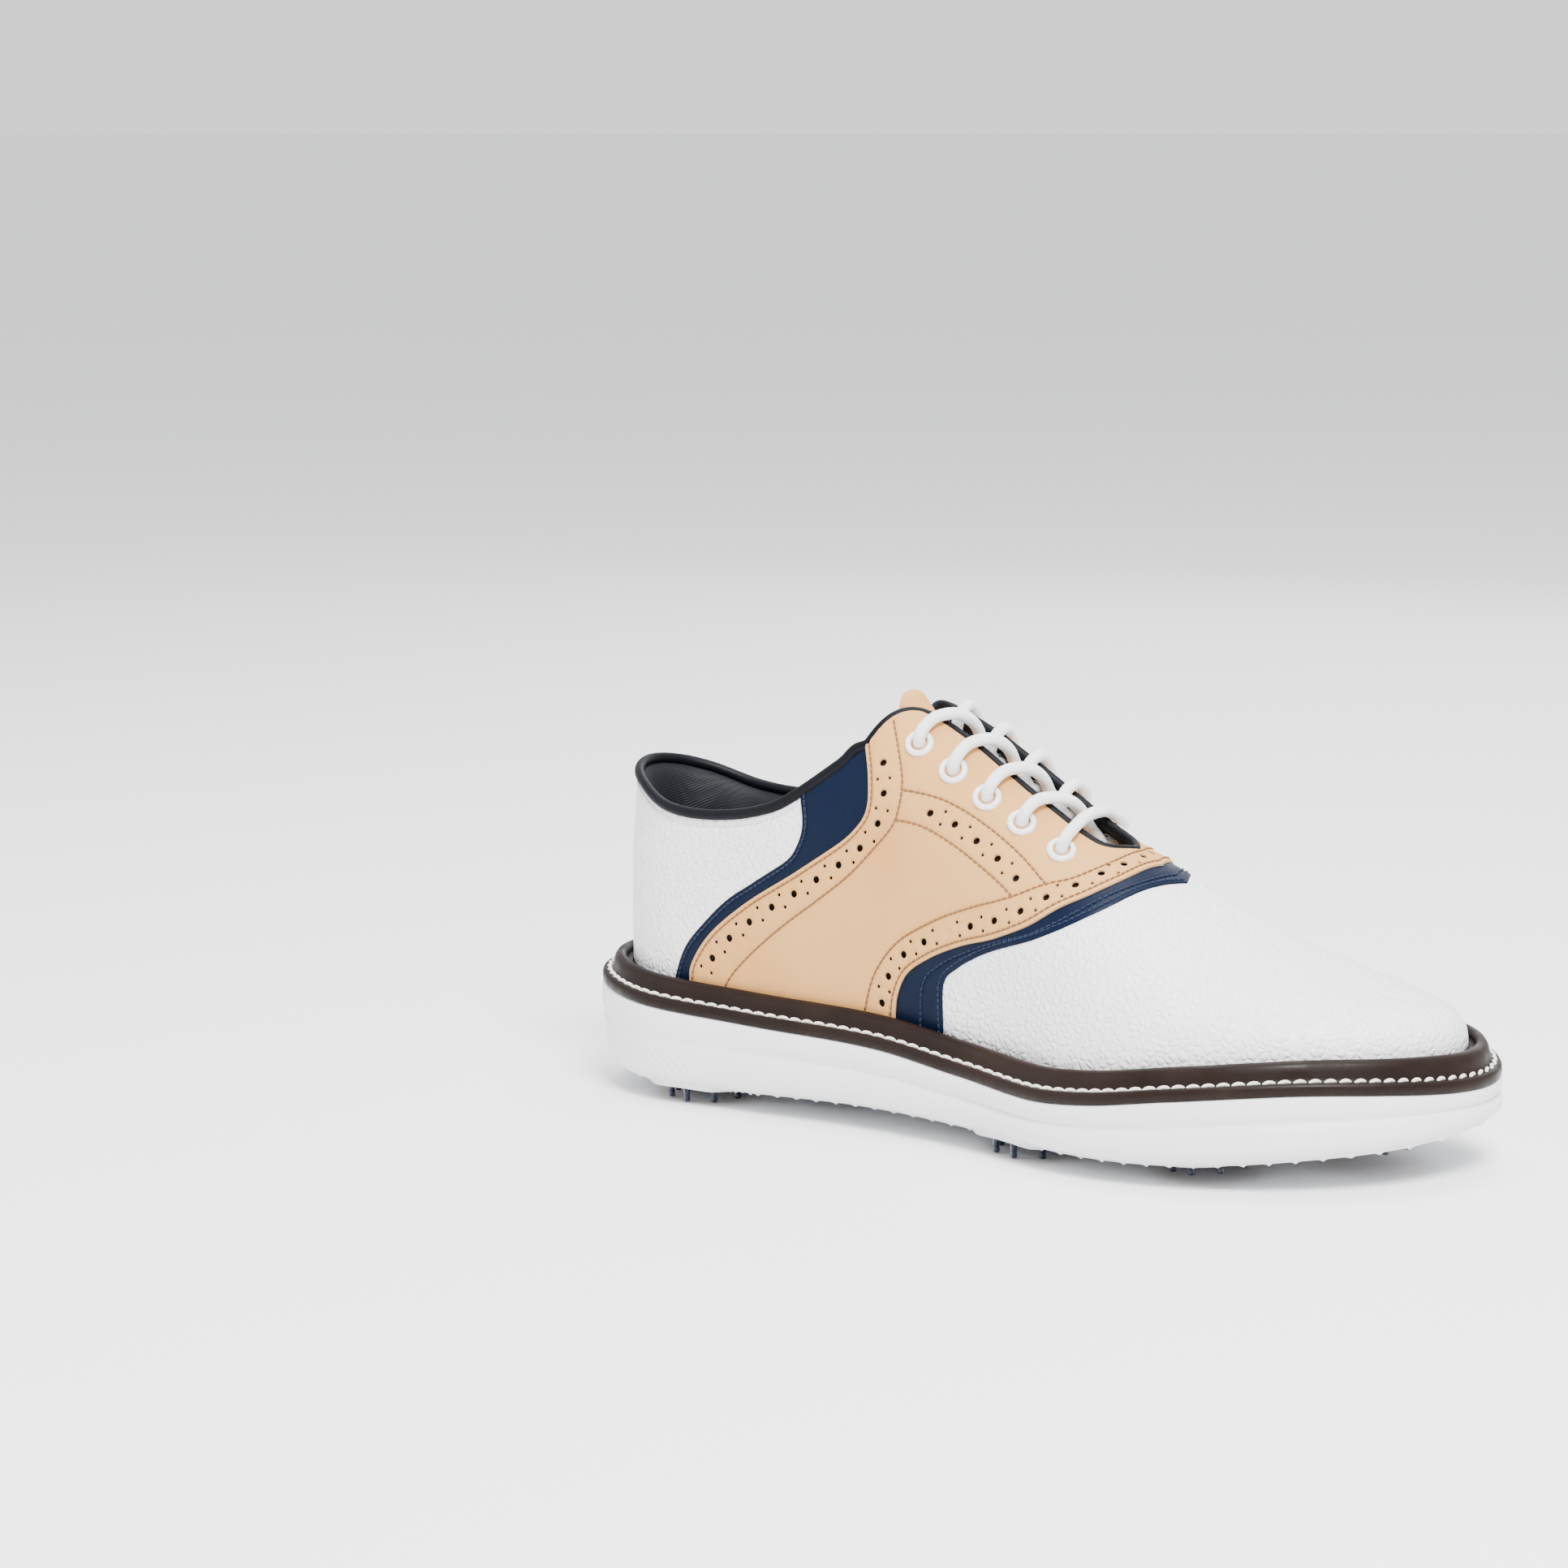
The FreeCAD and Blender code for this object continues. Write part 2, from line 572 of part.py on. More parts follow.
def pod_body(label, points, radius, low, high, sockets):
    """amber plate under a group of cleats: discs joined by bars, with a round seat for each cleat"""
    frame = tread_frame(*points[0])
    inverse = frame.inverse()
    local = [inverse.multVec(tread_frame(*p).Base) for p in points]
    shapes = []
    for k, p in enumerate(local):
        disc = DOC.addObject("Part::Cylinder", f"{label}_disc_{k}")
        disc.Placement = frame.multiply(Placement(Vector(p.x, p.y, low), Rotation()))
        bind(disc, Radius=radius)
        disc.Height = high - low
        shapes.append(disc)
    for k in range(len(local) - 1):
        a, b = local[k], local[k + 1]
        span = Vector(b.x - a.x, b.y - a.y, 0)
        bar = DOC.addObject("Part::Box", f"{label}_bar_{k}")
        bar.Length = span.Length
        bind(bar, Width="pod_bar")
        bar.Height = high - low
        turn = Rotation(Vector(0, 0, 1), math.degrees(math.atan2(span.y, span.x)))
        corner = turn.multVec(Vector(0, -size("pod_bar") / 2, 0))
        bar.Placement = frame.multiply(Placement(Vector(a.x + corner.x, a.y + corner.y, low), turn))
        shapes.append(bar)
    joined = DOC.addObject("Part::MultiFuse", label + "_joined")
    joined.Shapes = shapes
    limit = DOC.addObject("Part::Extrusion", label + "_limit")
    limit.Base = outline_sketch(label + "_outline", size("pod_inset") - (0 if sockets else 0.15))
    limit.Dir = Vector(0, 0, 1)
    limit.Solid = True
    bind(limit, LengthFwd="sole_block")
    plate = DOC.addObject("Part::MultiCommon", label + "_plate")
    plate.Shapes = [joined, limit]
    plate.Label = label
    if not sockets:
        return plate
    tools = []
    for k, (x, y) in enumerate(points):
        place = tread_frame(x, y)
        tools.append(cylinder(f"{label}_seat_{k}", place, -3, "pod_recess", "3.8"))
        tools.append(cylinder(f"{label}_bore_{k}", place, -3, "pod_bore", "9"))
    return cut_out(plate, tools)


def sole_pieces():
    tread = size("outsole_thick")
    gap = size("layer_gap")
    midsole = layer("midsole", 0, lambda x: tread_z(x) + tread + gap, top_z)
    outsole = layer("outsole", size("outsole_inset"), tread_z, lambda x: tread_z(x) + tread)
    wells = [cylinder(f"midsole_well_{k}", tread_frame(x, y), 2, "pod_bore", "7")
             for k, (x, y) in enumerate(CLEATS.values())]
    midsole = cut_out(midsole, wells)
    pods_at = {name: [CLEATS[cleat_name] for cleat_name in group] for name, group in PODS.items()}
    pockets = [pod_body(f"{name}_pocket", points, "pod_radius + 0.15", -6, size("pod_top") + 0.1, False)
               for name, points in pods_at.items()]
    holes = [cylinder(f"outsole_hole_{k}", tread_frame(x, y), -3, "pod_bore", "12")
             for k, (x, y) in enumerate(CLEATS.values())]
    badge_seat = DOC.addObject("Part::Box", "badge_seat")
    bind(badge_seat, Length="plaque_length + 0.3", Width="plaque_width + 0.3", Height="plaque_thick + 3")
    corner = Vector(-64 - size("plaque_length") / 2 - 0.15, -size("plaque_width") / 2 - 0.15, tread_z(-64) - 3)
    badge_seat.Placement = Placement(corner, Rotation())
    outsole = cut_out(outsole, pockets + holes + [badge_seat])
    pods = [pod_body(name, points, "pod_radius", -size("pod_proud"), size("pod_top"), True)
            for name, points in pods_at.items()]
    return [midsole, outsole] + pods + [plaque(), receptacles()] + inside_sole() + welt_pieces()


def plaque():
    """plain rounded plate let into the outsole's waist"""
    body = DOC.addObject("PartDesign::Body", "sole_plaque")
    body.Label = "sole_plaque"
    pad = pad_sketch(body, "plaque_outline", rounded_rectangle(size("plaque_length"), size("plaque_width"), 5),
                     "plaque_thick")
    body.Tip = pad
    body.Placement = Placement(Vector(-64, 0, tread_z(-64) - 0.1), Rotation())
    return body


def origin_plane(body, role):
    return next(f for f in body.Origin.OriginFeatures if f.Role == role)


def body_sketch(body, label, geometry, role="XY_Plane"):
    sketch = body.newObject("Sketcher::SketchObject", label)
    sketch.AttachmentSupport = [(origin_plane(body, role), "")]
    sketch.MapMode = "FlatFace"
    for item in geometry:
        sketch.addGeometry(item, False)
    return sketch


def pad_sketch(body, label, geometry, length, role="XY_Plane"):
    pad = body.newObject("PartDesign::Pad", label + "_pad")
    pad.Profile = body_sketch(body, label, geometry, role)
    bind(pad, Length=length)
    return pad


def rounded_rectangle(length, width, radius):
    """closed outline of lines and corner arcs, centred on the origin"""
    items = []
    a, b = length / 2 - radius, width / 2 - radius
    centres = [(a, b, 0), (-a, b, 90), (-a, -b, 180), (a, -b, 270)]
    up = Vector(0, 0, 1)
    for cx, cy, start in centres:
        circle = Part.Circle(Vector(cx, cy, 0), up, radius)
        items.append(Part.ArcOfCircle(circle, math.radians(start), math.radians(start + 90)))
    items += [Part.LineSegment(Vector(a, b + radius, 0), Vector(-a, b + radius, 0)),
              Part.LineSegment(Vector(-a - radius, b, 0), Vector(-a - radius, -b, 0)),
              Part.LineSegment(Vector(-a, -b - radius, 0), Vector(a, -b - radius, 0)),
              Part.LineSegment(Vector(a + radius, -b, 0), Vector(a + radius, b, 0))]
    return items


def polygon(points):
    closed = points + points[:1]
    return [Part.LineSegment(Vector(*a, 0), Vector(*b, 0)) for a, b in zip(closed, closed[1:])]


def receptacles():
    """blind sockets moulded over the pods, one for each cleat"""
    made = []
    for name, (x, y) in CLEATS.items():
        place = tread_frame(x, y)
        outer = cylinder("insert_" + name, place, size("insert_bottom"), "insert_radius",
                         "insert_top - insert_bottom")
        bore = cylinder("insert_bore_" + name, place, size("insert_bottom"), "insert_bore",
                        "insert_roof - insert_bottom")
        insert = DOC.addObject("Part::Cut", "receptacle_" + name)
        insert.Base, insert.Tool = outer, bore
        made.append(insert)
    group = DOC.addObject("Part::Compound", "cleat_receptacles")
    group.Links = made
    group.Label = "cleat_receptacles"
    return group


def cleat(name, x, y):
    """twist-lock cleat: stud, disc with a low dome, and a ring of splayed legs"""
    body = DOC.addObject("PartDesign::Body", "cleat_" + name)
    body.Label = "cleat_" + name
    disc, stud = size("cleat_disc"), size("stud_radius")
    top, bottom, dome = size("cleat_disc_top"), size("cleat_disc_bottom"), size("cleat_dome")
    hub = body.newObject("PartDesign::Revolution", "hub")
    outline = [(0, size("stud_top")), (stud, size("stud_top")), (stud, top), (disc, top), (disc, -bottom),
               (5.5, -dome), (0, -dome)]
    hub.Profile = body_sketch(body, "hub_outline", polygon(outline), "XZ_Plane")
    hub.ReferenceAxis = (hub.Profile[0], ["V_Axis"])
    hub.Angle = 360
    half_arm, reach = size("arm_width") / 2, size("leg_circle")
    arm = body.newObject("PartDesign::Pad", "arm")
    arm.Profile = body_sketch(body, "arm_outline", polygon([(disc - 1.5, -half_arm), (reach, -half_arm),
                                                           (reach, half_arm), (disc - 1.5, half_arm)]))
    arm.Midplane = True
    bind(arm, Length="cleat_disc_bottom")
    leg = body.newObject("PartDesign::Revolution", "leg")
    width, tip, foot = size("leg_radius"), size("leg_tip"), size("ground_plane")
    post = [(reach, 0.6), (reach + width, 0.6), (reach + width, -1.5), (reach + tip, -foot + 0.8),
            (reach + tip * 0.7, -foot), (reach, -foot)]
    leg.Profile = body_sketch(body, "leg_outline", polygon(post), "XZ_Plane")
    axis = Part.LineSegment(Vector(reach, -20, 0), Vector(reach, 20, 0))
    leg.Profile[0].addGeometry(axis, True)
    leg.ReferenceAxis = (leg.Profile[0], ["Axis0"])
    leg.Angle = 360
    ring = body.newObject("PartDesign::PolarPattern", "leg_ring")
    ring.Originals = [arm, leg]
    ring.Axis = (body_sketch(body, "ring_axis", []), ["N_Axis"])
    ring.Angle = 360
    bind(ring, Occurrences="leg_count")
    body.Tip = ring
    body.Placement = tread_frame(x, y)
    return body


def inside_sole():
    """filler, shank, insole board and footbed, stacked inside the welt"""
    def above(rise):
        return lambda x: top_z(x) + size(rise)
    shank = layer("shank_strip", size("board_inset"), above("shank_bottom"), above("shank_top"))
    strip = DOC.addObject("Part::Box", "shank_limits")
    bind(strip, Length="shank_length", Width="shank_width", Height="sole_block")
    strip.Placement = Placement(Vector(-88, -size("shank_width") / 2 - 2, 0), Rotation())
    steel = DOC.addObject("Part::MultiCommon", "shank")
    steel.Shapes = [shank, strip]
    filler = layer("bottom_filler", size("board_inset"), lambda x: top_z(x) + size("layer_gap"),
                   above("filler_top"))
    bed = DOC.addObject("Part::Box", "shank_bed")
    bind(bed, Length="shank_length + 0.4", Width="shank_width + 0.4", Height="sole_block")
    bed.Placement = Placement(Vector(-88.2, -size("shank_width") / 2 - 2.2, 0), Rotation())
    room = layer("shank_room", size("board_inset"), lambda x: top_z(x) + size("shank_bottom") - 0.1,
                 lambda x: top_z(x) + size("filler_top") + 1)
    slot = DOC.addObject("Part::MultiCommon", "shank_slot")
    slot.Shapes = [room, bed]
    return [steel, cut_out(filler, [slot]),
            layer("insole_board", size("board_inset"), above("board_bottom"), above("board_top")),
            layer("footbed", size("footbed_inset"), above("footbed_bottom"), above("footbed_top"))]


WELT_PROFILE = [(0.9, 0.2), (0.6, 2.0), (1.5, 3.6), (3.2, 3.8), (4.0, 5.2), (5.0, 8.4), (6.8, 9.4), (8.4, 8.6),
                (8.4, 6.9), (10.2, 6.9), (10.2, 0.2)]
THREAD_PROFILE = [(2.2, 4.0), (2.8, 4.5), (3.4, 4.05)]


def ring(label, profile, stations=56):
    """closed band round the sole with a constant section of (inset, rise) points"""
    faces = []
    for low, high in ((0.0, TOE_U), (TOE_U, 1.0)):
        rings = []
        for k in range(stations):
            u = low + (high - low) * k / (stations - 1)
            plan = [edge(u, inset) for inset, _ in profile]
            rings.append([Vector(x, y, top_z(x) + rise) for (x, y), (_, rise) in zip(plan, profile)])
        for j in range(len(profile)):
            faces.append(skin([[r[j], r[(j + 1) % len(profile)]] for r in rings]))
    return piece(label, sewn(faces))


def welt_pieces():
    return [ring("welt", WELT_PROFILE), ring("welt_thread", THREAD_PROFILE)]


# ---------------------------------------------------------------- eyelets and lace

def eyelet_row(side, label):
    """five flanged metal eyelets"""
    rings = []
    for number, (x, v) in enumerate(EYELETS, start=1):
        n = normal(side, x, v)
        place = Placement(shoe(side, x, v) + n * 0.05, Rotation(Vector(0, 0, 1), n))
        flange = cylinder(f"{label}_flange_{number}", place, 0, "eyelet_flange", "eyelet_height")
        barrel = cylinder(f"{label}_barrel_{number}", place, -size("eyelet_depth"), "eyelet_barrel",
                          "eyelet_depth + eyelet_height")
        bore = cylinder(f"{label}_bore_{number}", place, -size("eyelet_depth") - 1, "eyelet_bore",
                        "eyelet_depth + eyelet_height + 2")
        solid = DOC.addObject("Part::Fuse", f"{label}_solid_{number}")
        solid.Base, solid.Tool = flange, barrel
        eyelet = DOC.addObject("Part::Cut", f"{label}_{number}")
        eyelet.Base, eyelet.Tool = solid, bore
        rings.append(eyelet)
    group = DOC.addObject("Part::Compound", label)
    group.Links = rings
    group.Label = label
    return group


def tube_path(points, limits):
    """straight runs joined by tangent arcs; each arc as large as its runs or its limit allow"""
    edges, radii, here = [], [], points[0]
    for k in range(1, len(points) - 1):
        before, corner, after = points[k - 1], points[k], points[k + 1]
        a, b = (before - corner).normalize(), (after - corner).normalize()
        half = (math.pi - a.getAngle(b)) / 2
        run = min((before - corner).Length, (after - corner).Length)
        radius = 0.45 * run / math.tan(half)
        if limits[k]:
            radius = min(radius, limits[k])
        trim = radius * math.tan(half)
        start, end = corner + a * trim, corner + b * trim
        middle = (a + b).normalize()
        mid = corner + middle * (radius / math.cos(half) - radius)
        edges.append(Part.LineSegment(here, start).toShape())
        edges.append(Part.Arc(start, mid, end).toShape())
        radii.append(round(radius, 1))
        here = end
    edges.append(Part.LineSegment(here, points[-1]).toShape())
    print("turn radii", radii)
    return Part.Wire(edges)


def tube(label, points, limits, radius):
    path = tube_path(points, limits)
    first = path.Edges[0]
    circle = Part.Circle(points[0], (points[1] - points[0]), radius)
    profile = Part.Wire([circle.toShape()])
    swept = path.makePipeShell([profile], True, False)
    print(label, "length", round(path.Length, 1), "volume ratio",
          round(swept.Volume / (path.Length * math.pi * radius ** 2), 4), "first run", round(first.Length, 2))
    return swept


EYELET_TURN = 2.0
INSIDE, OUTSIDE = -6.3, 3.9
LACE_TAIL = [(-21, 0.585, 6.5), (-10, 0.55, 6.4), (4, 0.52, 6.5), (17, 0.45, 6.8), (30, 0.36, 7.4),
             (44, 0.3, 8.6), (58, 0.275, 10.4)]


def over_throat(x, across, lift):
    """point over the throat: across from the ridge line, lifted along the surface's normal"""
    side = LATERAL if across < 0 else MEDIAL
    ridge_y = graph(RIDGE_Y, graph(RIDGE_X, x))
    low, high = 0.3, 1.0
    for _ in range(30):
        middle = (low + high) / 2
        if abs(shoe(side, x, middle).y - ridge_y) > abs(across):
            low = middle
        else:
            high = middle
    return shoe(side, x, low) + normal(side, x, min(low, 0.985)) * lift


def eyelet_point(side, number, lift):
    x, v = EYELETS[number]
    return shoe(side, x, v) + normal(side, x, v) * lift


HIGH_STRAND = [(0.06, -0.72, 3.2), (0.28, -0.5, 2.9), (0.5, -0.29, 2.2), (0.72, 0, -1.2), (0.86, 0.4, -5.2),
               (0.97, 0.7, -6.0)]
LOW_STRAND = [(0.97, -0.7, -6.0), (0.70, -0.48, -5.8), (0.45, -0.27, -4.4), (0.22, 0.04, -1.0),
              (0.12, 0.4, 2.2), (0.04, 0.72, 3.2)]
BAR = [(0.3, 2.4), (0.66, 2.6)]


def half_width(side, number):
    """from the ridge line out to an eyelet"""
    x, v = EYELETS[number]
    return abs(shoe(side, x, v).y - graph(RIDGE_Y, graph(RIDGE_X, x)))


def strand(number, shape):
    """one crossing between eyelet pairs number and number + 1, from the lateral side to the medial"""
    x, following = EYELETS[number][0], EYELETS[number + 1][0]
    points = []
    for part, share, lift in shape:
        side = LATERAL if share < 0 else MEDIAL
        across = share * half_width(side, number + (1 if part > 0.5 else 0))
        points.append(over_throat(x + (following - x) * part, across, lift))
    return points


def lace_points():
    """one lace: a bar across the lowest eyelets, then each half crosses upwards from eyelet to eyelet"""
    halves = []
    for first in (LATERAL, MEDIAL):
        side = first
        reach = side * half_width(side, 4)
        points = [(over_throat(EYELETS[4][0], reach * share, lift), None) for share, lift in BAR]
        points.append((eyelet_point(side, 4, OUTSIDE), EYELET_TURN))
        points.append((eyelet_point(side, 4, INSIDE), EYELET_TURN))
        for number in (3, 2, 1, 0):
            crossing = strand(number, LOW_STRAND) if side == LATERAL else strand(number, HIGH_STRAND)[::-1]
            points += [(p, None) for p in crossing]
            side = -side
            points.append((eyelet_point(side, number, OUTSIDE), EYELET_TURN))
            points.append((eyelet_point(side, number, INSIDE), EYELET_TURN))
        for x, v, depth in LACE_TAIL:
            points.append((shoe(side, x, v, depth), None))
        halves.append(points)
    return [p for p in reversed(halves[0])] + halves[1]


def lace():
    route = lace_points()
    points = [p for p, _ in route]
    limits = [r for _, r in route]
    solid = tube("lace", points, limits, size("lace_radius"))
    tips = []
    for end, before in ((points[0], points[1]), (points[-1], points[-2])):
        ahead = (end - before).normalize()
        tip = DOC.addObject("Part::Cylinder", f"aglet_{len(tips) + 1}")
        bind(tip, Radius="aglet_radius", Height="aglet_length")
        tip.Placement = Placement(end, Rotation(Vector(0, 0, 1), ahead))
        tips.append(tip)
    group = DOC.addObject("Part::Compound", "lace_aglets")
    group.Links = tips
    group.Label = "lace_aglets"
    return [piece("lace", solid), group]


# ---------------------------------------------------------------- build and write

def main():
    nodes = leather_pieces() + inner_pieces() + piping() + tongue() + sole_pieces()
    nodes += [cleat(name, x, y) for name, (x, y) in CLEATS.items()]
    nodes += [eyelet_row(LATERAL, "eyelets_lateral"), eyelet_row(MEDIAL, "eyelets_medial")]
    nodes += lace()
    DOC.recompute()
    for obj in DOC.Objects:
        if "Invalid" in obj.State or "Error" in obj.State:
            raise RuntimeError(f"{obj.Label} failed: {obj.State}")
    for node in nodes:
        if node.Shape.isNull() or not node.Shape.isValid():
            print("bad shape", node.Label)
    os.makedirs("parts", exist_ok=True)
    for node in nodes:
        node.Shape.exportStep(os.path.join("parts", node.Label + ".step"))
        print(f"{node.Label:26s} solids {len(node.Shape.Solids)} volume {node.Shape.Volume:10.1f}")


main()
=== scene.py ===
import json
import math

import bpy
import numpy as np
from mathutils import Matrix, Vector
from mathutils.geometry import delaunay_2d_cdt
from mathutils.kdtree import KDTree


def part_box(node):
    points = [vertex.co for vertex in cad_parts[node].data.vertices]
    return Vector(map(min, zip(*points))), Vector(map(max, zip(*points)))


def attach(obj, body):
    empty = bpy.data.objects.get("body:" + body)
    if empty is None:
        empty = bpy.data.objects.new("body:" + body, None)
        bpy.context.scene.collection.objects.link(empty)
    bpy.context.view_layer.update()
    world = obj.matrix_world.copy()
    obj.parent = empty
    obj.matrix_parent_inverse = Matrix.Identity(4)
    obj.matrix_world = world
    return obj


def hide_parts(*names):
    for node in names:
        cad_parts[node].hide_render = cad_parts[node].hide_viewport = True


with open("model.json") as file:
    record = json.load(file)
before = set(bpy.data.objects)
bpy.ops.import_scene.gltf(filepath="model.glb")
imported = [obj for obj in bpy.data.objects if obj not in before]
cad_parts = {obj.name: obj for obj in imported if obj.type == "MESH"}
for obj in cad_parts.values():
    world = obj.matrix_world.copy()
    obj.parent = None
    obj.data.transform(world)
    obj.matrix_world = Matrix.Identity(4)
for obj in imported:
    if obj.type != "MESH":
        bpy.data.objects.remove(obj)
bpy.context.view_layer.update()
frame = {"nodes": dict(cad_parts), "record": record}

# Shapes are worked out in millimetres, in the frame of the CAD model: +X toe, +Y inner side, +Z up.
# MM turns them into Blender's metres when a mesh is made.
MM = 0.001
LATERAL, MEDIAL = -1, 1
SIDES = ((LATERAL, "lateral"), (MEDIAL, "medial"))

# ------------------------------------------------------------------ the shoe surface, as in the CAD model

SOLE_EDGE = [(-152, 0), (-143, -23), (-118, -37.5), (-80, -38.5), (-35, -38), (5, -43), (42, -54),
             (75, -54.5), (108, -44), (137, -22), (151, 6), (148, 30), (129, 47), (98, 54.5), (62, 54),
             (22, 43), (-22, 32), (-70, 31.5), (-114, 36.5), (-142, 23)]
TREAD = [(-152, 12), (-135, 6.8), (-100, 6), (-40, 7), (10, 6), (50, 6), (82, 7), (116, 10),
         (135, 12), (152, 15)]
SOLE_TOP = [(-152, 34.5), (-120, 31.5), (-75, 29), (-30, 27), (0, 23.5), (30, 21.5), (52, 23),
            (80, 27), (112, 30), (135, 29.5), (152, 27)]
RIDGE = [(-150, 150), (-90, 150), (-60, 143), (-34, 131), (-14, 122), (10, 106.5), (30, 93.5),
         (50, 83.5), (80, 67.5), (105, 57), (120, 52.5), (140, 46)]
RIDGE_X = [(-143, -95), (-100, -80), (-60, -56), (0, 0), (60, 58), (100, 93), (144, 122)]
RIDGE_Y = [(-150, 0), (-60, 1), (0, 3), (60, 5), (100, 9), (125, 11)]
FULLNESS = [(-150, 2.4), (-30, 2.6), (-14, 2.4), (10, 2.15), (24, 2), (60, 2), (100, 2.2), (125, 2.3)]
TOPLINE = [(-152, 106), (-132, 99), (-115, 93), (-95, 92), (-75, 96), (-62, 103.5), (-43, 118)]
BULGE, FEATHER_INSET, FEATHER_RISE = 0.055, 9.0, 7.0

SADDLE_REAR = [(-104, 0), (-103, 0.02), (-96, 0.062), (-84, 0.113), (-65, 0.188), (-51, 0.263),
               (-43.5, 0.325), (-40, 0.39), (-41, 0.48), (-44, 0.57)]
SADDLE_FRONT = [(-28, 0), (-27, 0.03), (-23.5, 0.07), (-16, 0.12), (-3, 0.2), (9.5, 0.28), (21, 0.39),
                (30.5, 0.52), (38.5, 0.64), (44.5, 0.79), (48, 1.0)]
ACCENT_FRONT = [(-10, 0), (-10, 0.09), (-5, 0.14), (3.5, 0.205), (16, 0.3), (28, 0.41), (37.5, 0.52),
                (45, 0.64), (50.5, 0.79), (55, 0.94), (56.5, 1.0)]
ACCENT_REAR = [(-110.5, 0), (-106, 0.038), (-99, 0.075), (-90, 0.119), (-80.5, 0.156), (-69, 0.206),
               (-65, 0.24), (-63, 0.29), (-64.5, 0.42)]
THROAT = [(-44, 0.57), (-38.5, 0.75), (-33.5, 0.84), (-28, 0.865), (-15, 0.85), (4, 0.835), (18, 0.84),
          (28, 0.85), (34, 0.885), (39, 1.0)]
EYELETS = [(-26.8, 0.68), (-14.2, 0.66), (-2, 0.66), (10.3, 0.675), (23.9, 0.70)]


def graph(table, x):
    """smooth curve through (x, value) knots, for an array of x"""
    kx, ky = np.array(table, float).T
    last = len(kx) - 1
    before, after = np.maximum(np.arange(last + 1) - 1, 0), np.minimum(np.arange(last + 1) + 1, last)
    slope = (ky[after] - ky[before]) / (kx[after] - kx[before])
    x = np.clip(np.asarray(x, float), kx[0], kx[-1])
    i = np.clip(np.searchsorted(kx, x, side="right") - 1, 0, last - 1)
    w = kx[i + 1] - kx[i]
    f = (x - kx[i]) / w
    return (ky[i] * (1 + 2 * f) * (1 - f) ** 2 + slope[i] * w * f * (1 - f) ** 2
            + ky[i + 1] * f * f * (3 - 2 * f) + slope[i + 1] * w * f * f * (f - 1))


def round_path(points, w, closed=True):
    """Catmull-Rom curve: w counts points, so w = 2.5 is halfway from point 2 to point 3"""
    p = np.array(points, float)
    if not closed:
        p = np.vstack([2 * p[0] - p[1], p, 2 * p[-1] - p[-2]])
        w = np.clip(w, 0, len(points) - 1) + 1
        i = np.clip(np.floor(w).astype(int), 1, len(p) - 3)
    else:
        i = np.floor(w).astype(int)
    k = (w - i)[:, None]
    n = len(p)
    a, b, c, d = p[(i - 1) % n], p[i % n], p[(i + 1) % n], p[(i + 2) % n]
    return 0.5 * (2 * b + (c - a) * k + (2 * a - 5 * b + 4 * c - d) * k ** 2
                  + (3 * b - a - 3 * c + d) * k ** 3)


def edge(u, inset):
    """plan points at u (0 to 1 round the sole, from the heel by the lateral side), moved inwards"""
    u = np.asarray(u, float).ravel()
    n = len(SOLE_EDGE)
    step = 1e-4
    a, b, p = (round_path(SOLE_EDGE, ((u + d) % 1.0) * n) for d in (-step, step, 0.0))
    t = (b - a) / np.linalg.norm(b - a, axis=1)[:, None]
    inset = np.broadcast_to(np.asarray(inset, float), u.shape)
    return np.stack([p[:, 0] - t[:, 1] * inset, p[:, 1] + t[:, 0] * inset], 1)


U_STEPS = np.linspace(0, 1, 8001)
FEATHER_X = edge(U_STEPS, FEATHER_INSET)[:, 0]
TOE_STEP = int(np.argmax(FEATHER_X))
TOE_U, TOE_X, HEEL_X = U_STEPS[TOE_STEP], FEATHER_X[TOE_STEP], FEATHER_X[0]
LATERAL_X = np.maximum.accumulate(FEATHER_X[:TOE_STEP + 1])
MEDIAL_X = np.maximum.accumulate(FEATHER_X[TOE_STEP:][::-1])


def foot_u(side, x):
    """u where the feather line of one side passes x"""
    if side == LATERAL:
        return np.interp(x, LATERAL_X, U_STEPS[:TOE_STEP + 1])
    return np.interp(x, MEDIAL_X, U_STEPS[TOE_STEP:][::-1])


def shoe(u, v, depth=0.0):
    """points of the upper: v is 0 at the feather line and 1 on the ridge, depth is below the leather"""
    u, v = np.broadcast_arrays(np.asarray(u, float).ravel(), np.asarray(v, float).ravel())
    depth = np.broadcast_to(np.asarray(depth, float), u.shape)
    xf = edge(u, FEATHER_INSET)[:, 0]
    x0, y0 = edge(u, FEATHER_INSET + depth).T
    z0 = graph(SOLE_TOP, xf) + FEATHER_RISE
    xr = graph(RIDGE_X, xf)
    yr, zr = graph(RIDGE_Y, xr), graph(RIDGE, xr) - depth
    a = np.clip(v, 0, 1) * math.pi / 2
    power = 2 / graph(FULLNESS, xr)
    c, s = np.maximum(np.cos(a), 0) ** power, np.sin(a) ** power
    swell = 1 + BULGE * np.sin(2 * a) ** 2
    return np.stack([xr + (x0 - xr) * c * swell, yr + (y0 - yr) * c * swell, z0 + (zr - z0) * s], 1)


def circle(count):
    """angles of that many points, evenly round a circle"""
    return np.linspace(0, 2 * math.pi, count, endpoint=False)


def ease(t):
    """0 up to 1 with a soft start and end, and flat outside 0 to 1"""
    t = np.clip(t, 0, 1)
    return t * t * (3 - 2 * t)


def unit(a):
    return a / np.maximum(np.linalg.norm(a, axis=-1, keepdims=True), 1e-9)


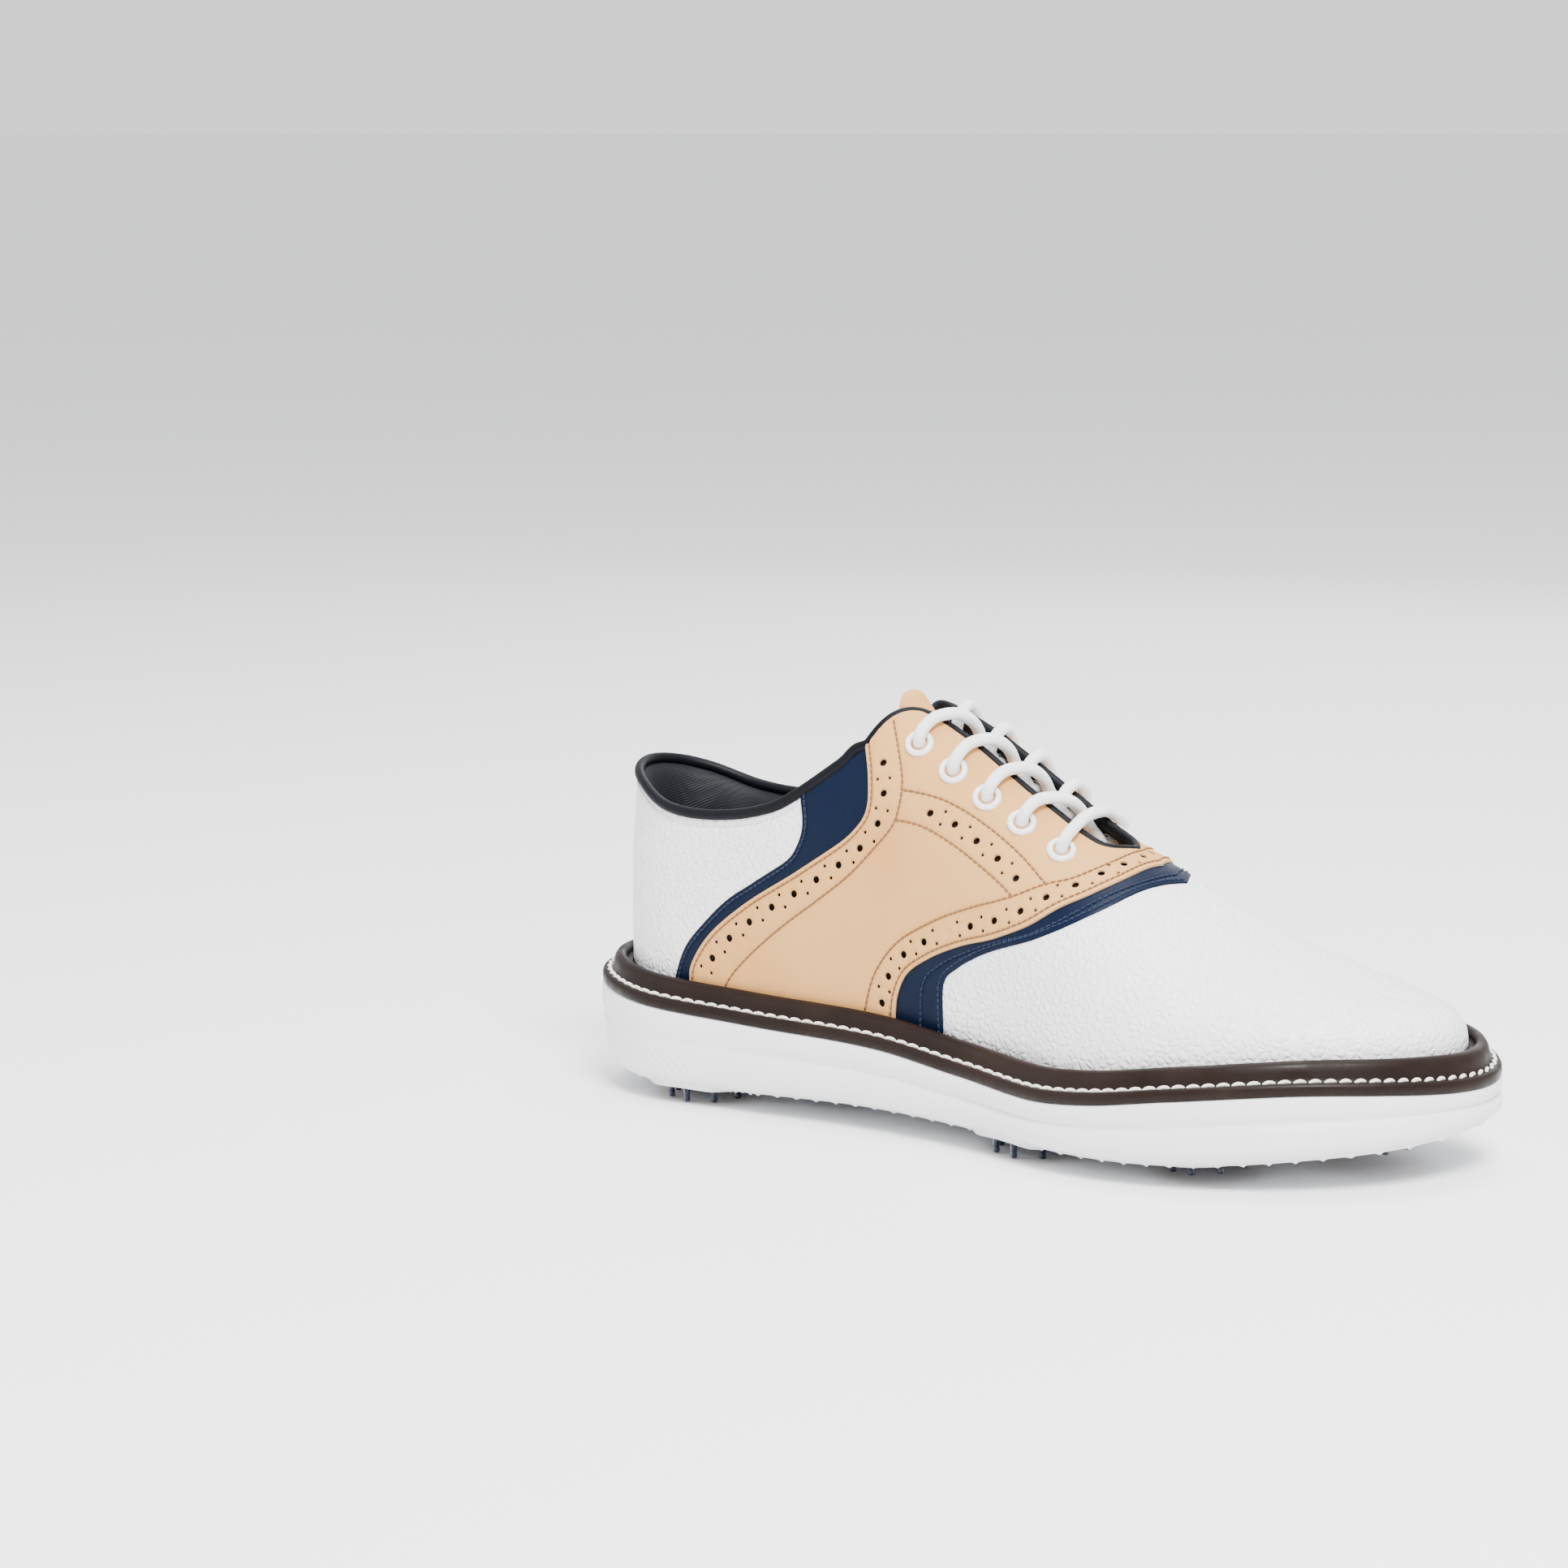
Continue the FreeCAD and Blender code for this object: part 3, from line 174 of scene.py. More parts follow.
def slopes(u, v):
    """derivatives along u and v, and the outward normal"""
    du, dv = 2e-4, 2e-3
    u, v = np.broadcast_arrays(np.asarray(u, float).ravel(), np.asarray(v, float).ravel())
    low, high = np.clip(v - dv, 0.0, 1 - 2 * dv), np.clip(v + dv, 2 * dv, 0.995)
    along_u = (shoe(u + du, np.minimum(v, 0.995)) - shoe(u - du, np.minimum(v, 0.995))) / (2 * du)
    along_v = (shoe(u, high) - shoe(u, low)) / (high - low)[:, None]
    return along_u, along_v, unit(np.cross(along_u, along_v))


def height_v(x, z):
    """v where the shoe over feather point x reaches height z"""
    x = np.atleast_1d(np.asarray(x, float))
    low, high = np.zeros(len(x)), np.ones(len(x))
    u = foot_u(LATERAL, x)
    for _ in range(24):
        middle = (low + high) / 2
        below = shoe(u, middle)[:, 2] < z
        low, high = np.where(below, middle, low), np.where(below, high, middle)
    return low


def top_v(x, drop=0.0):
    """v of the topline over feather point x, moved down by drop"""
    return height_v(x, graph(TOPLINE, np.atleast_1d(np.asarray(x, float))) - drop)


# ------------------------------------------------------------------ paths on the surface, as (u, v) arrays

def path(side, points):
    """smooth path through (x, v) points"""
    w = np.linspace(0, len(points) - 1, 24 * (len(points) - 1) + 1)
    x, v = round_path(points, w, closed=False).T
    return np.stack([foot_u(side, x), np.clip(v, 0, 1)], 1)


def straight(side, a, b):
    """path from one (x, v) to another, even in u and v"""
    f = np.linspace(0, 1, 200)
    ua, ub = float(foot_u(side, a[0])), float(foot_u(side, b[0]))
    return np.stack([ua + (ub - ua) * f, a[1] + (b[1] - a[1]) * f], 1)


def lengths(points):
    return np.concatenate([[0], np.cumsum(np.linalg.norm(np.diff(points, axis=0), axis=1))])


def respace(uv, step):
    """the same path with points a step apart, both ends kept"""
    run = lengths(shoe(uv[:, 0], uv[:, 1]))
    count = max(int(round(run[-1] / step)), 1)
    at = np.linspace(0, run[-1], count + 1)
    return np.stack([np.interp(at, run, uv[:, 0]), np.interp(at, run, uv[:, 1])], 1)


def place(u, v, a, b):
    """(u, v) of points a along the surface's u direction and b across it, in mm, from (u, v)"""
    pu, pv, _ = slopes(u, v)
    e1 = unit(pu)
    e2 = unit(pv - (pv * e1).sum(1)[:, None] * e1)
    dv = b / (pv * e2).sum(1)
    du = (a - dv * (pv * e1).sum(1)) / np.linalg.norm(pu, axis=1)
    return np.stack([u + du, np.clip(v + dv, 0, 1)], 1)


def shift(side, uv, distance):
    """path moved sideways: to the left of its heading as seen on the lateral side, mirrored on the other"""
    uv = respace(uv, 1.0)
    pu, pv, n = slopes(uv[:, 0], uv[:, 1])
    points = shoe(uv[:, 0], uv[:, 1])
    t = unit(np.gradient(points, axis=0))
    across = np.cross(n, t) * -side * distance
    e1 = unit(pu)
    e2 = unit(pv - (pv * e1).sum(1)[:, None] * e1)
    return place(uv[:, 0], uv[:, 1], (across * e1).sum(1), (across * e2).sum(1))


def cut(uv, low, high):
    """part of a path between two shares of its length"""
    run = lengths(shoe(uv[:, 0], uv[:, 1]))
    at = np.linspace(low * run[-1], high * run[-1], 200)
    return np.stack([np.interp(at, run, uv[:, 0]), np.interp(at, run, uv[:, 1])], 1)


# ------------------------------------------------------------------ meshes

def tree_of(points):
    """search tree over flat or solid points"""
    tree = KDTree(len(points))
    for i, p in enumerate(points):
        tree.insert((*p, 0)[:3], i)
    tree.balance()
    return tree


def used_only(verts, faces):
    """the same mesh without the points that no face uses"""
    used = np.unique(np.concatenate([np.array(f) for f in faces]))
    renumber = np.full(len(verts), -1)
    renumber[used] = np.arange(len(used))
    return verts[used], [renumber[list(f)] for f in faces]


def make(name, verts, faces, finishes, stands_for=(), body="shoe", smooth_angle=40, kinds=None):
    """mesh piece from points in mm, riding on a body and standing for CAD nodes.
    finishes are names of MATERIALS, and the first is the slot too; kinds gives each face's place in them"""
    mesh = bpy.data.meshes.new(name)
    mesh.from_pydata((np.asarray(verts, float) * MM).tolist(), [], [list(map(int, f)) for f in faces])
    for finish in finishes:
        mesh.materials.append(MATERIALS[finish])
    if kinds is not None:
        mesh.polygons.foreach_set("material_index", np.asarray(kinds, np.int32))
    mesh.polygons.foreach_set("use_smooth", np.ones(len(mesh.polygons), bool))
    mesh.validate()
    mesh.update()
    mesh.set_sharp_from_angle(angle=math.radians(smooth_angle))
    obj = bpy.data.objects.new(name, mesh)
    bpy.context.scene.collection.objects.link(obj)
    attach(obj, body)
    if stands_for:
        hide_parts(*stands_for)
    return obj


def joined(parts):
    """several (verts, faces) as one"""
    verts, faces, start = [], [], 0
    for v, f in parts:
        verts.append(np.asarray(v, float))
        faces += [[i + start for i in face] for face in f]
        start += len(v)
    return np.vstack(verts), faces


def sweep(rings, closed_path=False, closed_ring=True, caps=False):
    """faces of a lofted grid: rings is (stations, points, 3)"""
    rings = np.asarray(rings, float)
    n, m = rings.shape[:2]
    faces = []
    for i in range(n if closed_path else n - 1):
        j = (i + 1) % n
        for k in range(m if closed_ring else m - 1):
            q = (k + 1) % m
            faces.append((i * m + k, j * m + k, j * m + q, i * m + q))
    if caps:
        faces.append(tuple(range(m)))
        faces.append(tuple((n - 1) * m + k for k in range(m - 1, -1, -1)))
    return rings.reshape(-1, 3), faces


def tube(points, radius, sides=10, caps=True):
    """round tube along points; the radius may differ at each, and parallel frames keep it from twisting"""
    points = np.asarray(points, float)
    t = unit(np.gradient(points, axis=0))
    radius = np.broadcast_to(np.asarray(radius, float), (len(points),))
    normal = unit(np.cross(t[0], [0.3, 0.5, 0.81]))
    rings = []
    turn = circle(sides)
    for p, d, r in zip(points, t, radius):
        normal = unit(normal - d * (normal @ d))
        side = np.cross(d, normal)
        rings.append(p + r * (np.cos(turn)[:, None] * normal + np.sin(turn)[:, None] * side))
    return sweep(rings, caps=caps)


SECTION_U = {LATERAL: np.linspace(0, TOE_U, 260), MEDIAL: np.linspace(TOE_U, 1, 260)}
SECTION_V = np.linspace(0, 1, 121)


def section_table(side):
    """length up each cross-section of one side, from the feather line"""
    u, v = np.meshgrid(SECTION_U[side], SECTION_V, indexing="ij")
    p = shoe(u, v).reshape(*u.shape, 3)
    rise = np.cumsum(np.linalg.norm(np.diff(p, axis=1), axis=2), axis=1)
    return np.concatenate([np.zeros((len(u), 1)), rise], 1)


SECTIONS = {side: section_table(side) for side in (LATERAL, MEDIAL)}
FEATHER_RUN = lengths(edge(U_STEPS, FEATHER_INSET))


def flat(side, uv):
    """nearly true-length flat pattern of one side: run along the feather line, and height up the section"""
    us, table = SECTION_U[side], SECTIONS[side]
    a = np.clip((uv[:, 0] - us[0]) / (us[1] - us[0]), 0, len(us) - 1.001)
    b = np.clip(uv[:, 1], 0, 1) * (len(SECTION_V) - 1.001)
    i, j = a.astype(int), b.astype(int)
    fa, fb = a - i, b - j
    w = ((1 - fa) * (1 - fb) * table[i, j] + fa * (1 - fb) * table[i + 1, j]
         + (1 - fa) * fb * table[i, j + 1] + fa * fb * table[i + 1, j + 1])
    return np.stack([np.interp(uv[:, 0], U_STEPS, FEATHER_RUN), w], 1)


def inside(points, loop):
    """even-odd test of points against a closed loop"""
    hit = np.zeros(len(points), bool)
    for (ax, ay), (bx, by) in zip(loop, np.roll(loop, -1, axis=0)):
        if ay == by:
            continue
        crosses = (ay > points[:, 1]) != (by > points[:, 1])
        hit ^= crosses & (points[:, 0] < (bx - ax) * (points[:, 1] - ay) / (by - ay) + ax)
    return hit


def triangulate(plan, loops, hole_of, outline):
    """triangles over flat points, within the outline and outside every hole"""
    edges = []
    for loop in loops:
        edges += list(zip(loop, loop[1:] + loop[:1]))
    result = delaunay_2d_cdt([Vector(p) for p in plan], edges, [], 0, 1e-7)
    source = np.array([o[0] if o else -1 for o in result[3]])
    tris = np.array([f for f in result[2] if len(f) == 3])
    tris = source[tris]
    tris = tris[(tris >= 0).all(1)]
    middle = plan[tris].mean(1)
    holes = hole_of[tris]
    in_hole = (holes[:, 0] >= 0) & (holes[:, 0] == holes[:, 1]) & (holes[:, 0] == holes[:, 2])
    return tris[inside(middle, plan[outline]) & ~in_hole]


EDGE_SINK, EDGE_WIDTH = 0.22, 0.45        # cut edges are pressed down over this width
GROOVE_DEPTH, GROOVE_WIDTH = 0.2, 0.55    # sewn lines lie in a groove
HOLE_SINK = 0.16                          # punching pulls the leather in a little


def leather_half(side, border, holes=(), grooves=(), step=1.7):
    """one side of a panel: flat-cut outline with punched holes, laid on the shoe.
    border: list of (path, is_seam); holes: (u, v, radius); returns (u, v), extra depth, triangles"""
    uv, extra, outline = [], [], []
    for route, is_seam in border:
        points = respace(route, 1.2)[:-1]
        outline += range(len(uv), len(uv) + len(points))
        uv += points.tolist()
        extra += [0.0 if is_seam else EDGE_SINK] * len(points)
    hole_of = [-1] * len(uv)
    loops = [list(outline)]
    for number, (u, v, radius) in enumerate(holes):
        sides = 14 if radius > 0.9 else 8
        turn = circle(sides)
        for ring_radius, sink, owner in ((radius, HOLE_SINK, number), (radius + 0.3, 0.0, -1)):
            around = place(np.full(sides, u), np.full(sides, v), ring_radius * np.cos(turn),
                           ring_radius * np.sin(turn))
            if owner >= 0:
                loops.append(list(range(len(uv), len(uv) + sides)))
            uv += around.tolist()
            extra += [sink] * sides
            hole_of += [owner] * sides
    special = np.array(uv)
    plan_special = flat(side, special)
    tree = tree_of(plan_special)
    outline_plan = plan_special[outline]

    def clear(points, gap):
        plan = flat(side, points)
        near = np.array([tree.find((p[0], p[1], 0))[2] for p in plan])
        return points[(near > gap) & inside(plan, outline_plan)]

    added = []
    for groove in grooves:
        line = respace(groove, 0.9)
        for distance, sink in ((0.0, GROOVE_DEPTH), (GROOVE_WIDTH, 0.0), (-GROOVE_WIDTH, 0.0)):
            row = line if distance == 0 else respace(shift(side, line, distance), 0.9)
            added.append((clear(row, 0.4), sink))
    for route, is_seam in border:
        if not is_seam:
            added += [(clear(shift(side, route, way * EDGE_WIDTH), 0.3), 0.0) for way in (1, -1)]
    for row, sink in added:
        uv += row.tolist()
        extra += [sink] * len(row)
        hole_of += [-1] * len(row)
    tree = tree_of(flat(side, np.array(uv)))
    low, high = special.min(0), special.max(0)
    span = np.interp(high[0], U_STEPS, FEATHER_RUN) - np.interp(low[0], U_STEPS, FEATHER_RUN)
    columns = max(int(span / step), 2)
    tallest = (flat(side, np.array([[u, high[1]] for u in np.linspace(low[0], high[0], 9)]))[:, 1]
               - flat(side, np.array([[u, low[1]] for u in np.linspace(low[0], high[0], 9)]))[:, 1]).max()
    rows = max(int(tallest / step), 2)
    gu, gv = np.meshgrid(np.linspace(low[0], high[0], columns), np.linspace(low[1], high[1], rows),
                         indexing="ij")
    gv = gv + (np.arange(columns)[:, None] % 2) * 0.5 * (high[1] - low[1]) / rows
    grid = np.stack([gu.ravel(), np.clip(gv.ravel(), 0, 1)], 1)
    grid = clear(grid, step * 0.55)
    uv += grid.tolist()
    extra += [0.0] * len(grid)
    hole_of += [-1] * len(grid)
    uv = np.array(uv)
    tris = triangulate(flat(side, uv), loops, np.array(hole_of), outline)
    return uv, np.array(extra), tris


def panel(name, halves, outer, inner, finishes, stands_for):
    """closed leather piece from one or two halves, welded where they meet; outer and inner are depths"""
    uv = np.vstack([h[0] for h in halves])
    extra = np.concatenate([h[1] for h in halves])
    start, tris = 0, []
    for h in halves:
        tris.append(h[2] + start)
        start += len(h[0])
    tris = np.vstack(tris)
    base = shoe(uv[:, 0], uv[:, 1])
    tree = tree_of(base)
    keep = np.array([min(i for _, i, _ in tree.find_range(p, 0.03)) for p in base])
    tris = keep[tris]
    tris = tris[(tris[:, 0] != tris[:, 1]) & (tris[:, 1] != tris[:, 2]) & (tris[:, 0] != tris[:, 2])]
    top = shoe(uv[:, 0], uv[:, 1], outer + extra)
    bottom = shoe(uv[:, 0], uv[:, 1], inner)
    a, b, c = base[tris[:, 0]], base[tris[:, 1]], base[tris[:, 2]]
    _, _, outward = slopes(*uv[tris].mean(1).T)
    flip = (np.cross(b - a, c - a) * outward).sum(1) < 0
    tris[flip] = tris[flip][:, ::-1]
    n = len(uv)
    directed = {}
    for t in tris:
        for k in range(3):
            directed[(t[k], t[(k + 1) % 3])] = True
    walls = [(p, p + n, q + n, q) for p, q in directed if (q, p) not in directed]
    faces = tris.tolist() + (tris[:, ::-1] + n).tolist() + walls
    kinds = [0] * (2 * len(tris)) + [len(finishes) - 1] * len(walls)
    verts, faces = used_only(np.vstack([top, bottom]), faces)
    return make(name, verts, faces, finishes, [stands_for], kinds=kinds)


# ------------------------------------------------------------------ materials

class Shader:
    """one procedural material: nodes are added by name, and linked as they are made"""

    def __init__(self, name, colour, roughness=0.5, **sockets):
        self.material = bpy.data.materials.new(name)
        self.material.use_nodes = True
        self.nodes, self.links = self.material.node_tree.nodes, self.material.node_tree.links
        self.nodes.clear()
        self.out = self.nodes.new("ShaderNodeOutputMaterial")
        self.bsdf = self.nodes.new("ShaderNodeBsdfPrincipled")
        self.links.new(self.bsdf.outputs[0], self.out.inputs[0])
        self.colour = colour
        self.bsdf.inputs["Base Color"].default_value = (*colour, 1)
        self.bsdf.inputs["Roughness"].default_value = roughness
        for key, value in sockets.items():
            self.bsdf.inputs[key.replace("_", " ")].default_value = value
        self.where = self.nodes.new("ShaderNodeTexCoord").outputs["Object"]
        self.normal = None

    def node(self, kind, inputs=(), **settings):
        made = self.nodes.new("ShaderNode" + kind)
        for key, value in settings.items():
            setattr(made, key, value)
        for key, value in dict(inputs).items():
            if isinstance(value, bpy.types.NodeSocket):
                self.links.new(value, made.inputs[key])
            else:
                made.inputs[key].default_value = value
        return made

    def noise(self, scale, detail=3.0, rough=0.5, distortion=0.0, where=None):
        return self.node("TexNoise", {"Vector": where or self.where, "Scale": scale, "Detail": detail,
                                      "Roughness": rough, "Distortion": distortion}).outputs["Fac"]

    def cells(self, scale, feature="F1", smooth=None, randomness=1.0, where=None):
        voronoi = self.node("TexVoronoi", {"Vector": where or self.where, "Scale": scale,
                                           "Randomness": randomness}, feature=feature)
        if smooth is not None and "Smoothness" in voronoi.inputs:
            voronoi.inputs["Smoothness"].default_value = smooth
        return voronoi.outputs["Distance"]

    def ramp(self, value, low, high, to_low=0.0, to_high=1.0, smooth=True):
        made = self.node("MapRange", {"Value": value, "From Min": low, "From Max": high, "To Min": to_low,
                                      "To Max": to_high}, clamp=True)
        made.interpolation_type = "SMOOTHSTEP" if smooth else "LINEAR"
        return made.outputs["Result"]

    def maths(self, operation, a, b=0.0):
        made = self.nodes.new("ShaderNodeMath")
        made.operation = operation
        for socket, value in zip(made.inputs, (a, b)):
            if isinstance(value, bpy.types.NodeSocket):
                self.links.new(value, socket)
            else:
                socket.default_value = value
        return made.outputs[0]

    def stretched(self, scale, turn=(0.0, 0.0, 0.0)):
        return self.node("Mapping", {"Vector": self.where, "Scale": scale, "Rotation": turn}).outputs[0]

    def tint(self, share, other):
        """colour moves to the other one by share"""
        mix = self.nodes.new("ShaderNodeMix")
        mix.data_type = "RGBA"
        base = self.bsdf.inputs["Base Color"]
        if base.links:
            self.links.new(base.links[0].from_socket, mix.inputs["A"])
        else:
            mix.inputs["A"].default_value = base.default_value
        self.links.new(share, mix.inputs["Factor"])
        mix.inputs["B"].default_value = (*other, 1)
        self.links.new(mix.outputs["Result"], base)
        return self

    def bump(self, height, depth, strength=1.0):
        """relief of that depth in metres, over any that is there already"""
        made = self.node("Bump", {"Height": height, "Distance": depth, "Strength": strength})
        if self.normal:
            self.links.new(self.normal, made.inputs["Normal"])
        self.normal = made.outputs[0]
        self.links.new(self.normal, self.bsdf.inputs["Normal"])
        return self

    def rough(self, share, low, high):
        self.links.new(self.ramp(share, 0.3, 0.7, low, high), self.bsdf.inputs["Roughness"])
        return self


def soft_leather(name, colour, shade, roughness, pores=2600.0, relief=0.00006, **sockets):
    """smooth calf leather: fine pores, faint creases and slow changes of colour"""
    s = Shader(name, colour, roughness, **sockets)
    s.tint(s.ramp(s.noise(22, 3), 0.45, 0.75, 0.0, 0.55), shade)
    s.tint(s.ramp(s.noise(160, 4), 0.5, 0.8, 0.0, 0.25), shade)
    s.rough(s.noise(60, 4), roughness - 0.06, roughness + 0.08)
    s.bump(s.noise(260, 4, 0.6), relief * 1.5, 0.5)
    s.bump(s.cells(pores, smooth=0.4), relief, 0.5)
    return s.material


def pebbled_leather(name, colour, shade):
    """white tumbled grain: small domed cells parted by fine lines"""
    s = Shader(name, colour, 0.44, Specular_IOR_Level=0.45)
    noise = s.node("TexNoise", {"Vector": s.where, "Scale": 300, "Detail": 2.0})
    shift_by = s.node("VectorMath", {0: noise.outputs["Color"], 1: (0.0012, 0.0012, 0.0012)},
                      operation="MULTIPLY").outputs[0]
    warped = s.node("VectorMath", {0: s.where, 1: shift_by}).outputs[0]
    grain = s.cells(430, "DISTANCE_TO_EDGE", where=warped)
    domes = s.ramp(grain, 0.0, 0.34)
    # painted shade: the fine lines between the domes are darkened towards the shade colour
    s.tint(s.ramp(grain, 0.0, 0.10, 0.35, 0.0), shade)
    s.tint(s.ramp(s.noise(18, 2), 0.45, 0.8, 0.0, 0.5), shade)
    s.rough(s.noise(90, 3), 0.38, 0.5)
    s.bump(s.noise(170, 3), 0.0004, 0.6)
    s.bump(domes, 0.00034, 0.9)
    s.bump(s.noise(2400, 3), 0.00004, 0.5)
    return s.material


def woven(name, colour, shade, pitch=0.0009, sheen=0.3, roughness=0.85, relief=0.00012):
    """plain weave of small over-and-under threads"""
    s = Shader(name, colour, roughness, Sheen_Weight=sheen, Sheen_Roughness=0.4, Specular_IOR_Level=0.2)
    threads = [s.node("TexWave", {"Vector": s.stretched((1, 1, 1), turn), "Scale": 0.314 / pitch,
                                  "Distortion": 0.6, "Detail": 1.0},
                      bands_direction=axis).outputs["Fac"]
               for axis, turn in (("X", (0, 0, 0.78)), ("Z", (0, 0.5, 0)))]
    weave = s.maths("MULTIPLY", threads[0], threads[1])
    # painted shade: where the threads dip under each other, in the weave's low parts, the colour is darkened
    s.tint(s.ramp(weave, 0.0, 0.5, 0.6, 0.0), shade)
    s.tint(s.ramp(s.noise(70, 3), 0.4, 0.8, 0.0, 0.4), shade)
    s.bump(weave, relief, 0.8)
    s.bump(s.noise(1900, 2), 0.00004, 0.6)
    return s.material


def moulded(name, colour, shade, roughness=0.5, grain=1500.0, relief=0.00004, scuffs=0.3, **sockets):
    """moulded rubber or plastic: fine skin, slight marks, and gloss that varies a little"""
    s = Shader(name, colour, roughness, **sockets)
    s.tint(s.ramp(s.noise(14, 3), 0.45, 0.8, 0.0, scuffs), shade)
    s.tint(s.ramp(s.noise(420, 4, 0.7), 0.62, 0.8, 0.0, scuffs * 0.6), shade)
    s.rough(s.noise(110, 4), roughness - 0.07, roughness + 0.07)
    s.bump(s.noise(grain, 3), relief, 0.6)
    return s


def make_materials():
    """every finish of the shoe, by name"""
    m = {}
    tan, tan_shade = (0.60, 0.31, 0.105), (0.52, 0.245, 0.075)
    m["leather_tan"] = soft_leather("tan_leather", tan, tan_shade, 0.6, Specular_IOR_Level=0.14)
    m["leather_navy"] = soft_leather("navy_leather", (0.0016, 0.0055, 0.019), (0.001, 0.003, 0.010), 0.42,
                                     Specular_IOR_Level=0.10)
    m["leather_white"] = pebbled_leather("white_grain_leather", (0.84, 0.84, 0.835), (0.72, 0.72, 0.72))
    m["leather_edge"] = soft_leather("cut_leather_edge", (0.42, 0.25, 0.11), (0.30, 0.16, 0.06), 0.75)
    m["navy_edge"] = soft_leather("navy_cut_edge", (0.004, 0.006, 0.012), (0.002, 0.003, 0.007), 0.6,
                                  Specular_IOR_Level=0.05)
    # painted shade: the cut leather inside punched holes is darkened to near-black, far below the mid-brown
    # of the same leather's cut edge
    m["hole_wall"] = soft_leather("punched_wall_painted_shade", (0.060, 0.030, 0.014), (0.030, 0.015, 0.008), 0.8)
    m["backing_dark"] = woven("dark_canvas", (0.035, 0.020, 0.012), (0.018, 0.010, 0.007), 0.0006, 0.1)
    m["piping_dark"] = soft_leather("dark_binding", (0.0035, 0.004, 0.006), (0.002, 0.002, 0.003), 0.42,
                                    relief=0.00004, Specular_IOR_Level=0.10)
    m["lining_cloth"] = woven("dark_lining", (0.007, 0.008, 0.011), (0.0035, 0.004, 0.006), 0.0008, 0.03, 0.6)
    m["interlining"] = woven("interlining_canvas", (0.60, 0.56, 0.47), (0.48, 0.44, 0.36), 0.0010, 0.1)
    m["footbed_cloth"] = woven("footbed_cloth", (0.030, 0.038, 0.055), (0.016, 0.020, 0.03), 0.0011, 0.4)
    m["thread_tan"] = woven("tan_thread", (0.24, 0.11, 0.040), (0.16, 0.07, 0.025), 0.0005, 0.1, 0.6)
    m["thread_navy"] = woven("navy_thread", (0.005, 0.016, 0.050), (0.003, 0.008, 0.025), 0.0005, 0.1, 0.5)
    m["thread_white"] = woven("welt_thread_white", (0.86, 0.84, 0.78), (0.70, 0.66, 0.58), 0.0006, 0.2, 0.6)
    m["upper_thread_white"] = woven("upper_thread_white", (0.84, 0.84, 0.83), (0.72, 0.72, 0.72),
                                    0.0005, 0.2, 0.6)
    m["lace_white"] = woven("lace_braid", (0.86, 0.86, 0.85), (0.70, 0.71, 0.73), 0.0006, 0.35, 0.75, 0.0001)
    foam = Shader("open_foam", (0.66, 0.63, 0.54), 0.95, Sheen_Weight=0.2)
    # painted shade: the pits of the foam's cells are darkened
    foam.tint(foam.ramp(foam.cells(900), 0.1, 0.5, 0.5, 0.0), (0.5, 0.46, 0.38))
    foam.bump(foam.cells(900), 0.0004, 0.8)
    m["foam"] = foam.material
    stiff = moulded("stiffener_sheet", (0.035, 0.022, 0.014), (0.02, 0.012, 0.008), 0.8, 800, 0.00008)
    m["stiffener"] = stiff.material
    welt = Shader("welt_leather", (0.0095, 0.0050, 0.0038), 0.45, Specular_IOR_Level=0.12)
    welt.tint(welt.ramp(welt.noise(30, 4), 0.4, 0.75, 0.0, 0.7), (0.018, 0.0095, 0.0065))
    welt.tint(welt.ramp(welt.noise(700, 4, 0.7), 0.6, 0.8, 0.0, 0.4), (0.036, 0.020, 0.013))
    welt.rough(welt.noise(150, 4), 0.34, 0.52)
    welt.bump(welt.noise(900, 4, 0.6), 0.00008, 0.6)
    m["welt_brown"] = welt.material
    side = moulded("midsole_skin", (0.80, 0.80, 0.80), (0.70, 0.71, 0.72), 0.5, 1700, 0.00005, 0.3)
    side.tint(side.ramp(side.noise(5, 2), 0.4, 0.8, 0.0, 0.4), (0.74, 0.74, 0.75))
    lines = side.node("TexWave", {"Vector": side.where, "Scale": 190.0, "Distortion": 0.4},
                      bands_direction="DIAGONAL").outputs["Fac"]
    parts = side.node("SeparateXYZ", {"Vector": side.where}).outputs
    heel = side.maths("MULTIPLY", side.ramp(parts["X"], -0.11, -0.065, 1.0, 0.0),
                      side.ramp(parts["Z"], 0.016, 0.021, 1.0, 0.0))
    side.bump(side.maths("MULTIPLY", lines, heel), 0.00025, 0.6)
    m["midsole_white"] = side.material
    m["outsole_white"] = moulded("sole_rubber", (0.76, 0.77, 0.79), (0.64, 0.66, 0.69), 0.4, 1300, 0.00005,
                                 0.35, Specular_IOR_Level=0.5).material
    hatch = moulded("sole_rubber_hatched", (0.70, 0.715, 0.74), (0.56, 0.58, 0.62), 0.45, 1300, 0.00005, 0.35)
    lines = hatch.node("TexWave", {"Vector": hatch.where, "Scale": 190.0, "Distortion": 0.4},
                       bands_direction="DIAGONAL").outputs["Fac"]
    # painted shade: the troughs of the hatch lines are darkened
    hatch.tint(hatch.ramp(lines, 0.1, 0.5, 0.35, 0.0), (0.55, 0.58, 0.63))
    hatch.bump(lines, 0.00035, 0.7)
    m["outsole_hatched"] = hatch.material
    amber = Shader("amber_plastic", (0.40, 0.125, 0.006), 0.16, Transmission_Weight=0.42, IOR=1.49,
                   Coat_Weight=0.4, Coat_Roughness=0.08, Subsurface_Weight=0.25, Subsurface_Scale=0.003)
    amber.tint(amber.ramp(amber.noise(60, 3), 0.4, 0.8, 0.0, 0.5), (0.28, 0.065, 0.002))
    amber.rough(amber.noise(200, 3), 0.12, 0.22)
    amber.bump(amber.noise(500, 2), 0.00004, 0.4)
    m["pod_amber"] = amber.material
    m["insert_grey"] = moulded("insert_plastic", (0.05, 0.05, 0.055), (0.03, 0.03, 0.034), 0.45).material
